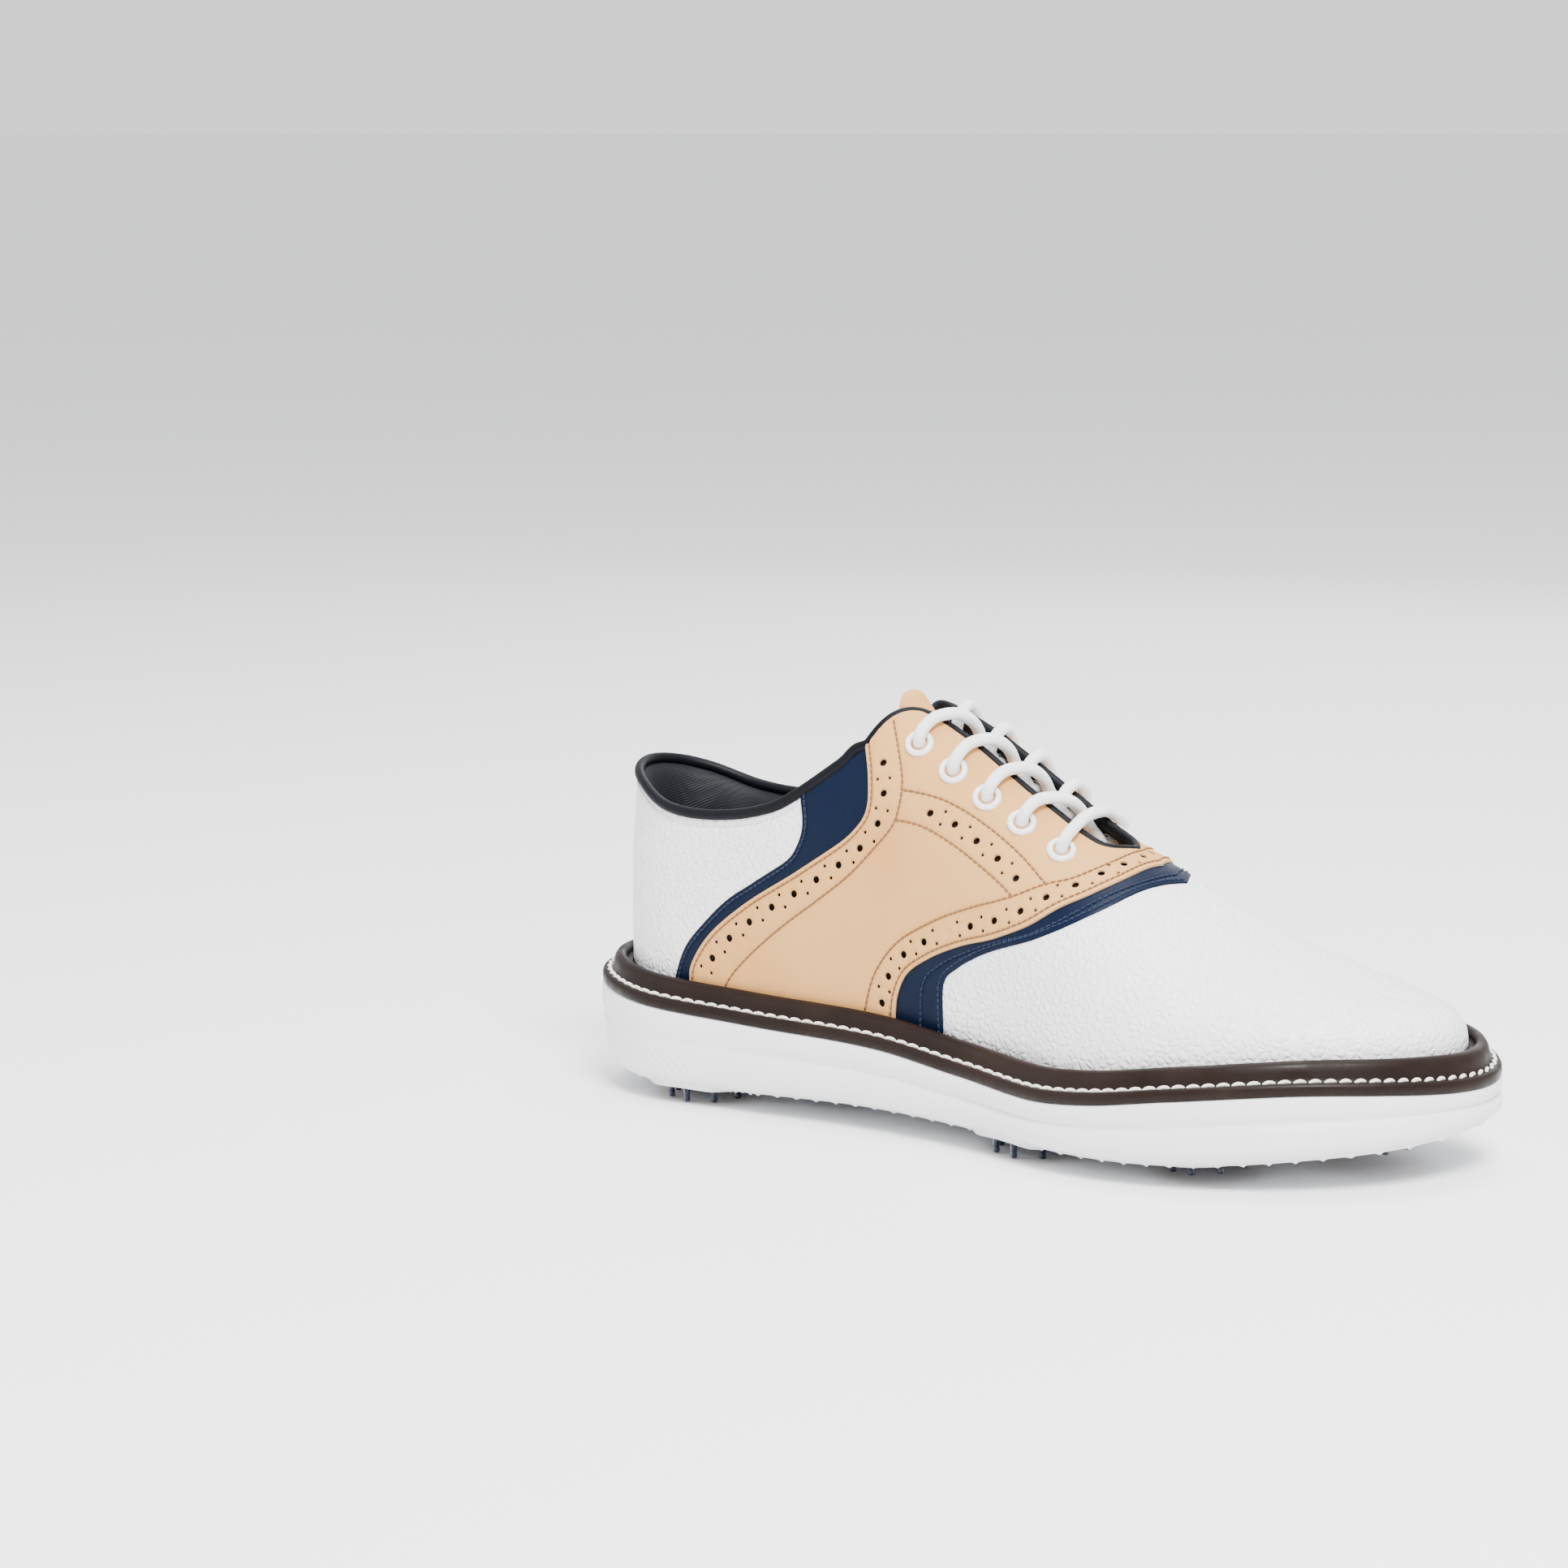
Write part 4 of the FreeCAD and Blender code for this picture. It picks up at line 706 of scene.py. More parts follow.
    cleat = Shader("cleat_plastic", (0.0035, 0.011, 0.034), 0.16, Transmission_Weight=0.12, IOR=1.5,
                   Coat_Weight=0.1, Coat_Roughness=0.08,
                   Specular_IOR_Level=0.25)
    cleat.tint(cleat.ramp(cleat.noise(120, 3), 0.4, 0.8, 0.0, 0.6), (0.002, 0.005, 0.017))
    cleat.rough(cleat.noise(300, 3), 0.12, 0.24)
    cleat.bump(cleat.noise(900, 2), 0.00003, 0.4)
    m["cleat_navy"] = cleat.material
    silver = Shader("cleat_silver", (0.62, 0.66, 0.72), 0.26, Metallic=0.35)
    silver.tint(silver.ramp(silver.noise(260, 4), 0.45, 0.8, 0.0, 0.6), (0.42, 0.47, 0.55))
    silver.rough(silver.noise(300, 3), 0.2, 0.34)
    silver.bump(silver.noise(900, 3), 0.00004, 0.5)
    m["cleat_silver"] = silver.material
    m["plaque_navy"] = moulded("plaque_plastic", (0.004, 0.011, 0.030), (0.0025, 0.007, 0.018), 0.24,
                               Coat_Weight=0.3, Coat_Roughness=0.1).material
    steel = Shader("shank_steel", (0.50, 0.50, 0.52), 0.34, Metallic=1.0)
    brushed = steel.noise(900, 4, where=steel.stretched((0.06, 1, 1)))
    steel.tint(steel.ramp(brushed, 0.4, 0.7, 0.0, 0.5), (0.36, 0.36, 0.38))
    steel.bump(brushed, 0.00003, 0.5)
    m["steel"] = steel.material
    cork = Shader("cork_filler", (0.36, 0.20, 0.09), 0.85)
    cork.tint(cork.ramp(cork.cells(420), 0.1, 0.5, 0.7, 0.0), (0.20, 0.10, 0.04))
    cork.bump(cork.cells(420), 0.0003, 0.7)
    m["cork"] = cork.material
    board = Shader("insole_board", (0.50, 0.34, 0.17), 0.9)
    board.tint(board.ramp(board.noise(1100, 5, 0.7), 0.4, 0.7, 0.0, 0.5), (0.38, 0.24, 0.11))
    board.bump(board.noise(1100, 5, 0.7), 0.00008, 0.6)
    m["board"] = board.material
    enamel = Shader("eyelet_enamel", (0.82, 0.82, 0.82), 0.22, Coat_Weight=0.6, Coat_Roughness=0.08)
    enamel.tint(enamel.ramp(enamel.noise(260, 3), 0.5, 0.8, 0.0, 0.4), (0.72, 0.73, 0.75))
    enamel.bump(enamel.noise(500, 2), 0.00002, 0.4)
    m["eyelet_white"] = enamel.material
    clear = Shader("aglet_sheath", (0.78, 0.80, 0.82), 0.12, Transmission_Weight=0.7, IOR=1.46)
    clear.tint(clear.ramp(clear.noise(300, 3), 0.4, 0.8, 0.0, 0.3), (0.62, 0.64, 0.68))
    clear.bump(clear.noise(700, 2), 0.00003, 0.4)
    m["aglet_clear"] = clear.material
    return m


MATERIALS = make_materials()


def finish_cad_nodes():
    """gives each carried-over CAD node the finish of its slot"""
    slots = {row["node"]: row["material_slot"] for row in frame["record"]["subparts"]}
    for name, node in frame["nodes"].items():
        for holder in node.material_slots:
            holder.material = MATERIALS[slots[name]]
        if not node.material_slots:
            node.data.materials.append(MATERIALS[slots[name]])


finish_cad_nodes()

# ------------------------------------------------------------------ camera and light

CAMERA_AZIMUTH, CAMERA_RISE, CAMERA_DISTANCE = 31.0, 11.5, 1.3
CAMERA_TARGET = Vector((0, 0, 0.05))


def place_camera():
    turn, rise = math.radians(CAMERA_AZIMUTH), math.radians(CAMERA_RISE)
    back = Vector((math.sin(turn) * math.cos(rise), -math.cos(turn) * math.cos(rise), math.sin(rise)))
    data = bpy.data.cameras.new("camera")
    data.lens, data.sensor_width = 97.4, 36.0
    data.shift_x, data.shift_y = -0.152, 0.115
    camera = bpy.data.objects.new("camera", data)
    camera.location = CAMERA_TARGET + back * CAMERA_DISTANCE
    camera.rotation_euler = back.to_track_quat("Z", "Y").to_euler()
    bpy.context.scene.collection.objects.link(camera)
    bpy.context.scene.camera = camera


def area_light(name, place_at, target, width, height, power, colour=(1, 1, 1)):
    data = bpy.data.lights.new(name, "AREA")
    data.shape, data.size, data.size_y, data.energy, data.color = "RECTANGLE", width, height, power, colour
    lamp = bpy.data.objects.new(name, data)
    lamp.location = place_at
    lamp.rotation_euler = (Vector(place_at) - Vector(target)).to_track_quat("Z", "Y").to_euler()
    bpy.context.scene.collection.objects.link(lamp)


def studio():
    """pale floor, a soft key light over the toe and softer fills"""
    world = bpy.data.worlds.new("studio_world")
    bpy.context.scene.world = world
    world.use_nodes = True
    world.node_tree.nodes["Background"].inputs["Color"].default_value = (0.97, 0.98, 1.0, 1)
    world.node_tree.nodes["Background"].inputs["Strength"].default_value = 1.3
    area_light("key", (0.75, -0.7, 1.25), (0, 0, 0.05), 0.6, 0.5, 62)
    area_light("fill", (-1.1, -0.9, 0.7), (-0.02, 0, 0.06), 1.0, 0.8, 6)
    area_light("top", (-0.1, 0.25, 1.4), (0, 0, 0.05), 1.1, 0.8, 24)
    area_light("back", (-0.3, 1.3, 0.6), (0, 0, 0.08), 1.2, 0.7, 5)
    floor_mesh = bpy.data.meshes.new("floor")
    half, sides = 40.0, 64
    ring = [(half * math.cos(2 * math.pi * k / sides), half * math.sin(2 * math.pi * k / sides), 0)
            for k in range(sides)]
    floor_mesh.from_pydata(ring, [], [tuple(range(sides))])
    floor = bpy.data.objects.new("floor", floor_mesh)
    bpy.context.scene.collection.objects.link(floor)
    paper = Shader("studio_paper", (0.90, 0.905, 0.91), 0.8)
    paper.tint(paper.ramp(paper.noise(3, 2), 0.4, 0.8, 0.0, 0.2), (0.87, 0.875, 0.88))
    paper.bump(paper.noise(500, 3), 0.00004, 0.3)
    floor_mesh.materials.append(paper.material)


place_camera()
studio()

# ------------------------------------------------------------------ uppers: outlines and stitch lines

SEAM_LAP = 3.6       # how far a leather runs under its neighbour
SADDLE_DEPTH, ACCENT_DEPTH, VAMP_DEPTH, LEATHER_BACK = 0.0, 0.9, 1.5, 2.0
REAR_INNER = [(-37.5, 0.72), (-31.1, 0.581), (-28.5, 0.494), (-29.3, 0.394), (-33.7, 0.325), (-43.8, 0.225),
              (-56, 0.15), (-71.6, 0.081), (-86.8, 0.019), (-91, 0.0)]
FRONT_INNER = [(-39.1, 0), (-35.4, 0.05), (-28.5, 0.106), (-15.9, 0.194), (2, 0.325), (13.6, 0.425),
               (23.2, 0.544), (32, 0.656), (38.5, 0.82), (41, 1.0)]
STAY_UPPER = [(-28.2, 0.489), (-13.4, 0.544), (0.4, 0.569), (13.6, 0.569), (24.0, 0.55)]
STAY_LOWER = [(-29.6, 0.392), (-18.4, 0.425), (-6, 0.438), (6.8, 0.438), (14.2, 0.43)]
STAY_CENTRE = [(-20, 0.469), (-11, 0.494), (-2, 0.5), (7, 0.5), (15, 0.488)]
THROAT_EDGE = [(-44, 0.57)] + [(x, v - 0.012) for x, v in THROAT[1:-1]] + [(40.0, 1.0)]
STITCH_INSET, BROGUE_INSET = 1.4, 5.4


def brogue(route, pitch, big=1.22, small=0.62, spread=2.1, start=0.5):
    """row of punched holes: a large one, then two small ones side by side across the row"""
    points = respace(route, 0.5)
    run = lengths(shoe(points[:, 0], points[:, 1]))
    holes, at, large = [], pitch * start, True
    pu, pv, n = slopes(points[:, 0], points[:, 1])
    t = unit(np.gradient(shoe(points[:, 0], points[:, 1]), axis=0))
    across = np.cross(n, t)
    e1 = unit(pu)
    e2 = unit(pv - (pv * e1).sum(1)[:, None] * e1)
    while at < run[-1] - 1.2:
        k = int(np.searchsorted(run, at))
        u, v = points[k]
        if large:
            holes.append((u, v, big))
        else:
            for way in (-1, 1):
                d = across[k] * way * spread
                nu, nv = place(np.array([u]), np.array([v]), np.array([d @ e1[k]]), np.array([d @ e2[k]]))[0]
                holes.append((nu, nv, small))
        large = not large
        at += pitch / 2
    return holes


def stitches(name, rows, depth, finish, pitch=2.0, length=1.55, radius=0.29, lift=0.03):
    """short lengths of thread, each dipping into the leather at both ends"""
    parts = []
    for route in rows:
        points = respace(route, pitch)
        middles = (points[:-1] + points[1:]) / 2
        ends = points[1:] - points[:-1]
        size_of = length / pitch / 2
        for m, e in zip(middles, ends):
            f = np.array([-1.0, -0.72, -0.3, 0.3, 0.72, 1.0])
            uv = m + f[:, None] * e * size_of
            rise = np.array([-0.22, 0.02, 0.12, 0.12, 0.02, -0.22]) + lift
            _, _, n = slopes(uv[:, 0], uv[:, 1])
            p = shoe(uv[:, 0], uv[:, 1], depth) + n * rise[:, None]
            parts.append(tube(p, radius * np.array([0.7, 1.0, 1.05, 1.05, 1.0, 0.7]), 6))
    verts, faces = joined(parts)
    make(name, verts, faces, [finish], smooth_angle=80)


def saddle_half(side):
    """outline, punching and sewn lines of the saddle on one side"""
    rear, front = path(side, SADDLE_REAR), path(side, SADDLE_FRONT)
    throat = path(side, THROAT_EDGE)
    border = [(straight(side, SADDLE_REAR[0], SADDLE_FRONT[0]), False), (front, False),
              (straight(side, SADDLE_FRONT[-1], THROAT_EDGE[-1]), True), (throat[::-1], False),
              (rear[::-1], False)]
    lines = {
        "rear_edge": shift(side, rear, -STITCH_INSET),
        "front_edge": shift(side, front, STITCH_INSET),
        "rear_inner": path(side, REAR_INNER), "front_inner": path(side, FRONT_INNER),
        "stay_upper": path(side, STAY_UPPER), "stay_lower": path(side, STAY_LOWER),
    }
    holes = brogue(cut(shift(side, rear, -BROGUE_INSET), 0.02, 0.985)[::-1], 9.6)
    holes += brogue(cut(shift(side, front, BROGUE_INSET - 0.3), 0.02, 0.99)[::-1], 9.2, start=0.2)
    holes += brogue(path(side, STAY_CENTRE), 9.0, start=0.2)
    holes += [(float(foot_u(side, x)), v, 3.0) for x, v in EYELETS]
    return border, holes, lines


SADDLE_BACK, ACCENT_BACK = 0.8, 1.4


def moved(table, dx):
    return [(x + dx, v) for x, v in table]


def top_route(side, x_from, x_to, drop=0.0):
    """the topline between two feather points, or a line that far below it"""
    x = np.linspace(x_from, x_to, 160)
    return np.stack([foot_u(side, x), top_v(x, drop)], 1)


def sampled(table, count):
    """that many points, evenly spaced along a smooth path"""
    w = np.linspace(0, len(table) - 1, count)
    return [tuple(p) for p in round_path(table, w, closed=False)]


def front_accent_half(side):
    rear, front = path(side, moved(SADDLE_FRONT, -SEAM_LAP)), path(side, ACCENT_FRONT)
    crest = SADDLE_FRONT[-1][0] - SEAM_LAP
    border = [(straight(side, (SADDLE_FRONT[0][0] - SEAM_LAP, 0), ACCENT_FRONT[0]), False), (front, False),
              (straight(side, ACCENT_FRONT[-1], (crest, 1)), True), (rear[::-1], False)]
    middle = [((a + c) / 2 + 0.4, (b + d) / 2) for (a, b), (c, d) in
              zip(sampled(SADDLE_FRONT, 9), sampled(ACCENT_FRONT, 9))]
    rows = [path(side, middle), shift(side, front, STITCH_INSET)]
    return leather_half(side, border, (), rows[:1]), rows


def rear_accent_half(side):
    rear_table = ACCENT_REAR[:-1] + [(-64.5, float(top_v(-64.5)[0]))]
    hidden = moved(SADDLE_REAR[:-1], SEAM_LAP) + [(-42.0, float(top_v(-42.0)[0]))]
    rear, front = path(side, rear_table), path(side, hidden)
    border = [(straight(side, rear_table[0], hidden[0]), False), (front, False),
              (top_route(side, -42.0, -64.5), False), (rear[::-1], False)]
    rows = [shift(side, rear, -STITCH_INSET)]
    return leather_half(side, border, (), rows), rows


def vamp_half(side):
    rear = path(side, moved(ACCENT_FRONT, -SEAM_LAP))
    start, crest = ACCENT_FRONT[0][0] - SEAM_LAP, ACCENT_FRONT[-1][0] - SEAM_LAP
    border = [(straight(side, (start, 0), (TOE_X, 0)), False), (straight(side, (TOE_X, 0), (TOE_X, 1)), True),
              (straight(side, (TOE_X, 1), (crest, 1)), True), (rear[::-1], False)]
    return leather_half(side, border, step=2.4)


def quarter_half(side):
    front_x = -64.5 + SEAM_LAP
    table = moved(ACCENT_REAR[:-1], SEAM_LAP) + [(front_x, float(top_v(front_x)[0]))]
    heel_top = float(top_v(HEEL_X)[0])
    border = [(straight(side, (HEEL_X, 0), table[0]), False), (path(side, table), False),
              (top_route(side, front_x, HEEL_X), False),
              (straight(side, (HEEL_X, heel_top), (HEEL_X, 0)), True)]
    rows = [top_route(side, -66, HEEL_X, 2.6)]
    return leather_half(side, border, (), rows, step=2.2), rows


def build_uppers():
    tan_rows, navy_rows, white_rows = [], [], []
    fronts, vamps, quarters = [], [], []
    for side, name in SIDES:
        border, holes, lines = saddle_half(side)
        half = leather_half(side, border, holes, list(lines.values()))
        panel("saddle_leather_" + name, [half], SADDLE_DEPTH, SADDLE_BACK, ["leather_tan", "leather_edge"],
              "saddle_" + name)
        tan_rows += list(lines.values())
        half, rows = rear_accent_half(side)
        panel("rear_accent_leather_" + name, [half], ACCENT_DEPTH, ACCENT_BACK, ["leather_navy", "navy_edge"],
              "rear_accent_" + name)
        navy_rows += rows
        half, rows = front_accent_half(side)
        fronts.append(half)
        navy_rows += rows
        vamps.append(vamp_half(side))
        half, rows = quarter_half(side)
        quarters.append(half)
        white_rows += rows
    panel("front_accent_leather", fronts, ACCENT_DEPTH, ACCENT_BACK, ["leather_navy", "navy_edge"],
          "front_accent")
    panel("vamp_leather", vamps, VAMP_DEPTH, LEATHER_BACK, ["leather_white"], "vamp")
    panel("heel_quarter_leather", quarters, VAMP_DEPTH, LEATHER_BACK, ["leather_white"], "heel_quarter")
    stitches("saddle_stitches", tan_rows, SADDLE_DEPTH, "thread_tan")
    stitches("accent_stitches", navy_rows, ACCENT_DEPTH, "thread_navy")
    stitches("quarter_stitches", white_rows, VAMP_DEPTH, "upper_thread_white")


build_uppers()

# ------------------------------------------------------------------ binding, eyelets and lace

PIPING_DEPTH, PIPING_RADIUS = 1.5, 1.62


def piping_route(side):
    """centre of the rolled binding: up the throat's edge, then round the collar to the heel"""
    throat = path(side, THROAT[::-1])
    x = np.linspace(THROAT[0][0], HEEL_X, 240)[1:]
    v = height_v(x, graph(TOPLINE, x) + 0.9)
    near = np.clip(1 - (THROAT[0][0] - x) / 6, 0, 1)
    collar = np.stack([foot_u(side, x), v * (1 - near) + THROAT[0][1] * near], 1)
    return respace(np.vstack([throat, collar]), 1.1)


def binding():
    """rolled leather binding: a round tube up the throat and round the collar, with a faint ripple along it
    """
    lateral, medial = piping_route(LATERAL), piping_route(MEDIAL)
    points = np.vstack([shoe(lateral[:, 0], lateral[:, 1], PIPING_DEPTH),
                        shoe(medial[::-1, 0], medial[::-1, 1], PIPING_DEPTH)[1:-1]])
    for _ in range(3):
        points = (np.roll(points, 1, 0) + 2 * points + np.roll(points, -1, 0)) / 4
    ahead = unit(np.roll(points, -1, 0) - np.roll(points, 1, 0))
    out = unit(np.array([0, 0, 1.0]) - ahead * ahead[:, 2:])
    across = np.cross(ahead, out)
    turn = circle(20)
    run = lengths(points)
    crease = 1 + 0.012 * np.sin(run * 2.1)[:, None] * np.cos(turn * 3) + 0.01 * np.sin(run * 0.37)[:, None]
    radius = crease * PIPING_RADIUS * (1 + 0.05 * np.cos(2 * turn))
    rings = points[:, None] + radius[..., None] * (out[:, None] * np.cos(turn)[None, :, None]
                                                   + across[:, None] * np.sin(turn)[None, :, None])
    verts, faces = sweep(rings, closed_path=True)
    make("collar_binding", verts, faces, ["piping_dark"], ["collar_piping"])


EYELET_SECTION = [(2.65, -3.6), (2.65, 0.2), (2.85, 0.78), (3.3, 1.08), (3.8, 1.0), (4.25, 0.66), (4.45, 0.2),
                  (4.42, -0.08), (3.2, -0.1), (3.2, -3.6)]


def eyelets():
    section = round_path(EYELET_SECTION, np.linspace(0, len(EYELET_SECTION) - 1, 37), closed=False)
    turn = circle(40)
    for side, name in SIDES:
        parts = []
        for x, v in EYELETS:
            u = foot_u(side, x)
            centre = shoe(u, v)[0]
            pu, _, n = (a[0] for a in slopes(u, v))
            e1 = unit(pu)
            e2 = np.cross(n, e1)
            rings = [[centre + n * (h + 0.05) + r * (math.cos(a) * e1 + math.sin(a) * e2) for r, h in section]
                     for a in turn]
            parts.append(sweep(rings, closed_path=True))
        verts, faces = joined(parts)
        make("eyelet_rings_" + name, verts, faces, ["eyelet_white"], ["eyelets_" + name])


INSIDE, OUTSIDE = -6.3, 3.9
LACE_TAIL = [(-21, 0.585, 6.5), (-10, 0.55, 6.4), (4, 0.52, 6.5), (17, 0.45, 6.8), (30, 0.36, 7.4),
             (44, 0.3, 8.6), (58, 0.275, 10.4)]
HIGH_STRAND = [(0.06, -0.72, 3.2), (0.28, -0.5, 2.9), (0.5, -0.29, 2.2), (0.72, 0, -1.2), (0.86, 0.4, -5.2),
               (0.97, 0.7, -6.0)]
LOW_STRAND = [(0.97, -0.7, -6.0), (0.70, -0.48, -5.8), (0.45, -0.27, -4.4), (0.22, 0.04, -1.0),
              (0.12, 0.4, 2.2), (0.04, 0.72, 3.2)]
BAR = [(0.3, 2.4), (0.66, 2.6)]
LACE_RADIUS = 1.9


def half_width(side, number):
    x, v = EYELETS[number]
    return abs(shoe(foot_u(side, x), v)[0, 1] - graph(RIDGE_Y, graph(RIDGE_X, x)))


def over_throat(x, across, lift):
    """point over the throat: across from the ridge line, lifted along the surface's normal"""
    side = LATERAL if across < 0 else MEDIAL
    u, ridge_y = foot_u(side, x), graph(RIDGE_Y, graph(RIDGE_X, x))
    v = np.linspace(1.0, 0.3, 1401)
    far = np.abs(shoe(np.full(len(v), u), v)[:, 1] - ridge_y)
    v = v[int(np.argmax(far >= abs(across)))]
    return shoe(u, v)[0] + slopes(u, min(v, 0.985))[2][0] * lift


def eyelet_point(side, number, lift):
    x, v = EYELETS[number]
    u = foot_u(side, x)
    return shoe(u, v)[0] + slopes(u, v)[2][0] * lift


def strand(number, shape):
    x, following = EYELETS[number][0], EYELETS[number + 1][0]
    points = []
    for part, share, lift in shape:
        side = LATERAL if share < 0 else MEDIAL
        across = share * half_width(side, number + (1 if part > 0.5 else 0))
        points.append(over_throat(x + (following - x) * part, across, lift))
    return points


def lace_points():
    """the lace's route: a bar across the lowest eyelets, then each half crosses up from eyelet to eyelet"""
    halves = []
    for first in (LATERAL, MEDIAL):
        side = first
        reach = side * half_width(side, 4)
        points = [over_throat(EYELETS[4][0], reach * share, lift) for share, lift in BAR]
        points += [eyelet_point(side, 4, OUTSIDE), eyelet_point(side, 4, INSIDE)]
        for number in (3, 2, 1, 0):
            points += strand(number, LOW_STRAND) if side == LATERAL else strand(number, HIGH_STRAND)[::-1]
            side = -side
            points += [eyelet_point(side, number, OUTSIDE), eyelet_point(side, number, INSIDE)]
        points += [shoe(foot_u(side, x), v, depth)[0] for x, v, depth in LACE_TAIL]
        halves.append(points)
    return halves[0][::-1] + halves[1]


def spline_points(name, points, step):
    """even points along the NURBS spline that has the route's points as its control points"""
    curve = bpy.data.curves.new(name, "CURVE")
    curve.dimensions = "3D"
    spline = curve.splines.new("NURBS")
    spline.points.add(len(points) - 1)
    for knot, p in zip(spline.points, points):
        knot.co = (*(float(c) * MM for c in p), 1)
    spline.order_u = 3
    spline.use_endpoint_u = True
    spline.resolution_u = 16
    holder = bpy.data.objects.new(name, curve)
    bpy.context.scene.collection.objects.link(holder)
    mesh = bpy.data.meshes.new_from_object(holder)
    line = np.array([v.co for v in mesh.vertices]) / MM
    bpy.data.objects.remove(holder)
    bpy.data.meshes.remove(mesh)
    bpy.data.curves.remove(curve)
    run = lengths(line)
    at = np.linspace(0, run[-1], int(run[-1] / step) + 1)
    return np.stack([np.interp(at, run, line[:, k]) for k in range(3)], 1)


def lace():
    """round braid: strands that cross over each other stand out of the tube's surface"""
    line = spline_points("lace_route", lace_points(), 0.42)
    t = unit(np.gradient(line, axis=0))
    run = lengths(line)
    sides, strands, pitch = 24, 8, 5.2
    turn = circle(sides)
    normal = unit(np.cross(t[0], [0.3, 0.5, 0.81]))
    rings = []
    for p, d, s in zip(line, t, run):
        normal = unit(normal - d * (normal @ d))
        side = np.cross(d, normal)
        twist = 2 * math.pi * s / pitch
        weave = np.sin(strands / 2 * turn + twist * 2) * np.sin(strands / 2 * turn - twist * 2)
        radius = LACE_RADIUS * (0.985 + 0.045 * weave)
        rings.append(p + radius[:, None] * (np.cos(turn)[:, None] * normal + np.sin(turn)[:, None] * side))
    verts, faces = sweep(np.array(rings), caps=True)
    make("lace_braid", verts, faces, ["lace_white"], ["lace"], smooth_angle=70)


binding()
eyelets()
lace()

# ------------------------------------------------------------------ linings, collar pad and tongue

BACKING_DEPTHS, LINING_DEPTHS = (2.1, 3.0), (3.2, 3.95)
LINING_REAR = [(-62, 0), (-62, 0.06), (-61.5, 0.12), (-60, 0.2)] + SADDLE_REAR[5:-1] + [(-44, 0.57)]
COUNTER_TOP = 75.0


def lining_half(side, rear_table, crest=55.5):
    front = moved(ACCENT_FRONT[:-1], -1) + [(crest, 1.0)]
    border = [(straight(side, rear_table[0], front[0]), False), (path(side, front), False),
              (straight(side, front[-1], THROAT_EDGE[-1]), True), (path(side, THROAT_EDGE)[::-1], False),
              (path(side, rear_table)[::-1], False)]
    holes = [(float(foot_u(side, x)), v, 3.1) for x, v in EYELETS]
    return leather_half(side, border, holes, step=3.4)


def stations(x_front, count):
    """sides and feather points from the lateral front, round the heel, to the medial front"""
    s = np.linspace(1, 0, count) ** 1.6
    x = HEEL_X + (x_front - HEEL_X) * s
    return [(LATERAL, a) for a in x] + [(MEDIAL, a) for a in x[::-1][1:]]


def wrapped_sheet(places, low, high, outer, inner, rows=18):
    """closed sheet over stations: low and high give v; outer and inner give depth, from x and height share"""
    w = np.linspace(0, 1, rows)
    rings = []
    for side, x in places:
        u = foot_u(side, x)
        v = low(x) + (high(x) - low(x)) * w
        around = np.full(rows, u)
        rings.append(np.vstack([shoe(around, v, outer(x, w)), shoe(around, v, inner(x, w))[::-1]]))
    return sweep(rings, caps=True)


def collar_pad():
    """stuffed collar: thickest in its middle, pulled in along the seam under the binding"""
    def low(x):
        return float(height_v(x, COUNTER_TOP)[0])

    def high(x):
        return float(top_v(x, 0.2)[0])

    def inner(x, w):
        thin = np.clip((-46 - x) / 18, 0, 1)
        full = np.sin(math.pi * np.clip(w, 0, 1) ** 0.85) ** 0.6
        ripple = 0.16 * math.sin(x * 0.55) * np.sin(math.pi * w)
        return 3.0 + thin * 4.4 * full + ripple
    verts, faces = wrapped_sheet(stations(-47.0, 60), low, high, lambda x, w: np.full(len(w), 2.15), inner)
    pad = make("collar_pad", verts, faces, ["lining_cloth"], ["collar_foam", "collar_lining"],
               smooth_angle=60)
    verts, faces = wrapped_sheet(stations(-62.5, 40), lambda x: 0.0, low, lambda x, w: np.full(len(w), 3.25),
                                 lambda x, w: 3.95 + 0.08 * np.sin(9 * w + x))
    make("heel_lining_cloth", verts, faces, ["lining_cloth"], ["heel_lining"])


def linings():
    for side, name in SIDES:
        rear = [(-79, 0), (-79, 0.05), (-77, 0.12), (-66, 0.19)] + SADDLE_REAR[5:-1] + [(-44, 0.57)]
        panel("saddle_canvas_" + name, [lining_half(side, rear)], *BACKING_DEPTHS, ["backing_dark"],
              "saddle_backing_" + name)
        panel("quarter_cloth_" + name, [lining_half(side, LINING_REAR)], *LINING_DEPTHS, ["lining_cloth"],
              "quarter_lining_" + name)
    halves = []
    for side in (LATERAL, MEDIAL):
        rear = moved(ACCENT_FRONT, -0.6)
        border = [(straight(side, rear[0], (TOE_X, 0)), False),
                  (straight(side, (TOE_X, 0), (TOE_X, 1)), True),
                  (straight(side, (TOE_X, 1), rear[-1]), True), (path(side, rear)[::-1], False)]
        halves.append(leather_half(side, border, step=4.0))
    panel("vamp_cloth", halves, *LINING_DEPTHS, ["lining_cloth"], "vamp_lining")


TONGUE_DEPTH, TONGUE_LEATHER, TONGUE_PAD = 10.7, 1.3, 3.1
WING = [(-42, 0.59), (-38, 0.58), (-20, 0.5), (0, 0.5), (36, 0.62), (44, 0.62)]


def tongue_grid(side_share, length_share):
    """u, v and edge distance shares of the tongue: side_share -1 to 1 across, length_share 0 (top) to 1"""
    v_guess = 1 - np.abs(side_share) * 0.42
    rear = np.interp(v_guess, [0.58, 0.8, 1.0], [-38, -41, -42])
    x = rear + (44 - rear) * length_share
    v = 1 - np.abs(side_share) * (1 - graph(WING, x))
    u = np.where(side_share < 0, foot_u(LATERAL, x), foot_u(MEDIAL, x))
    return u, v, x


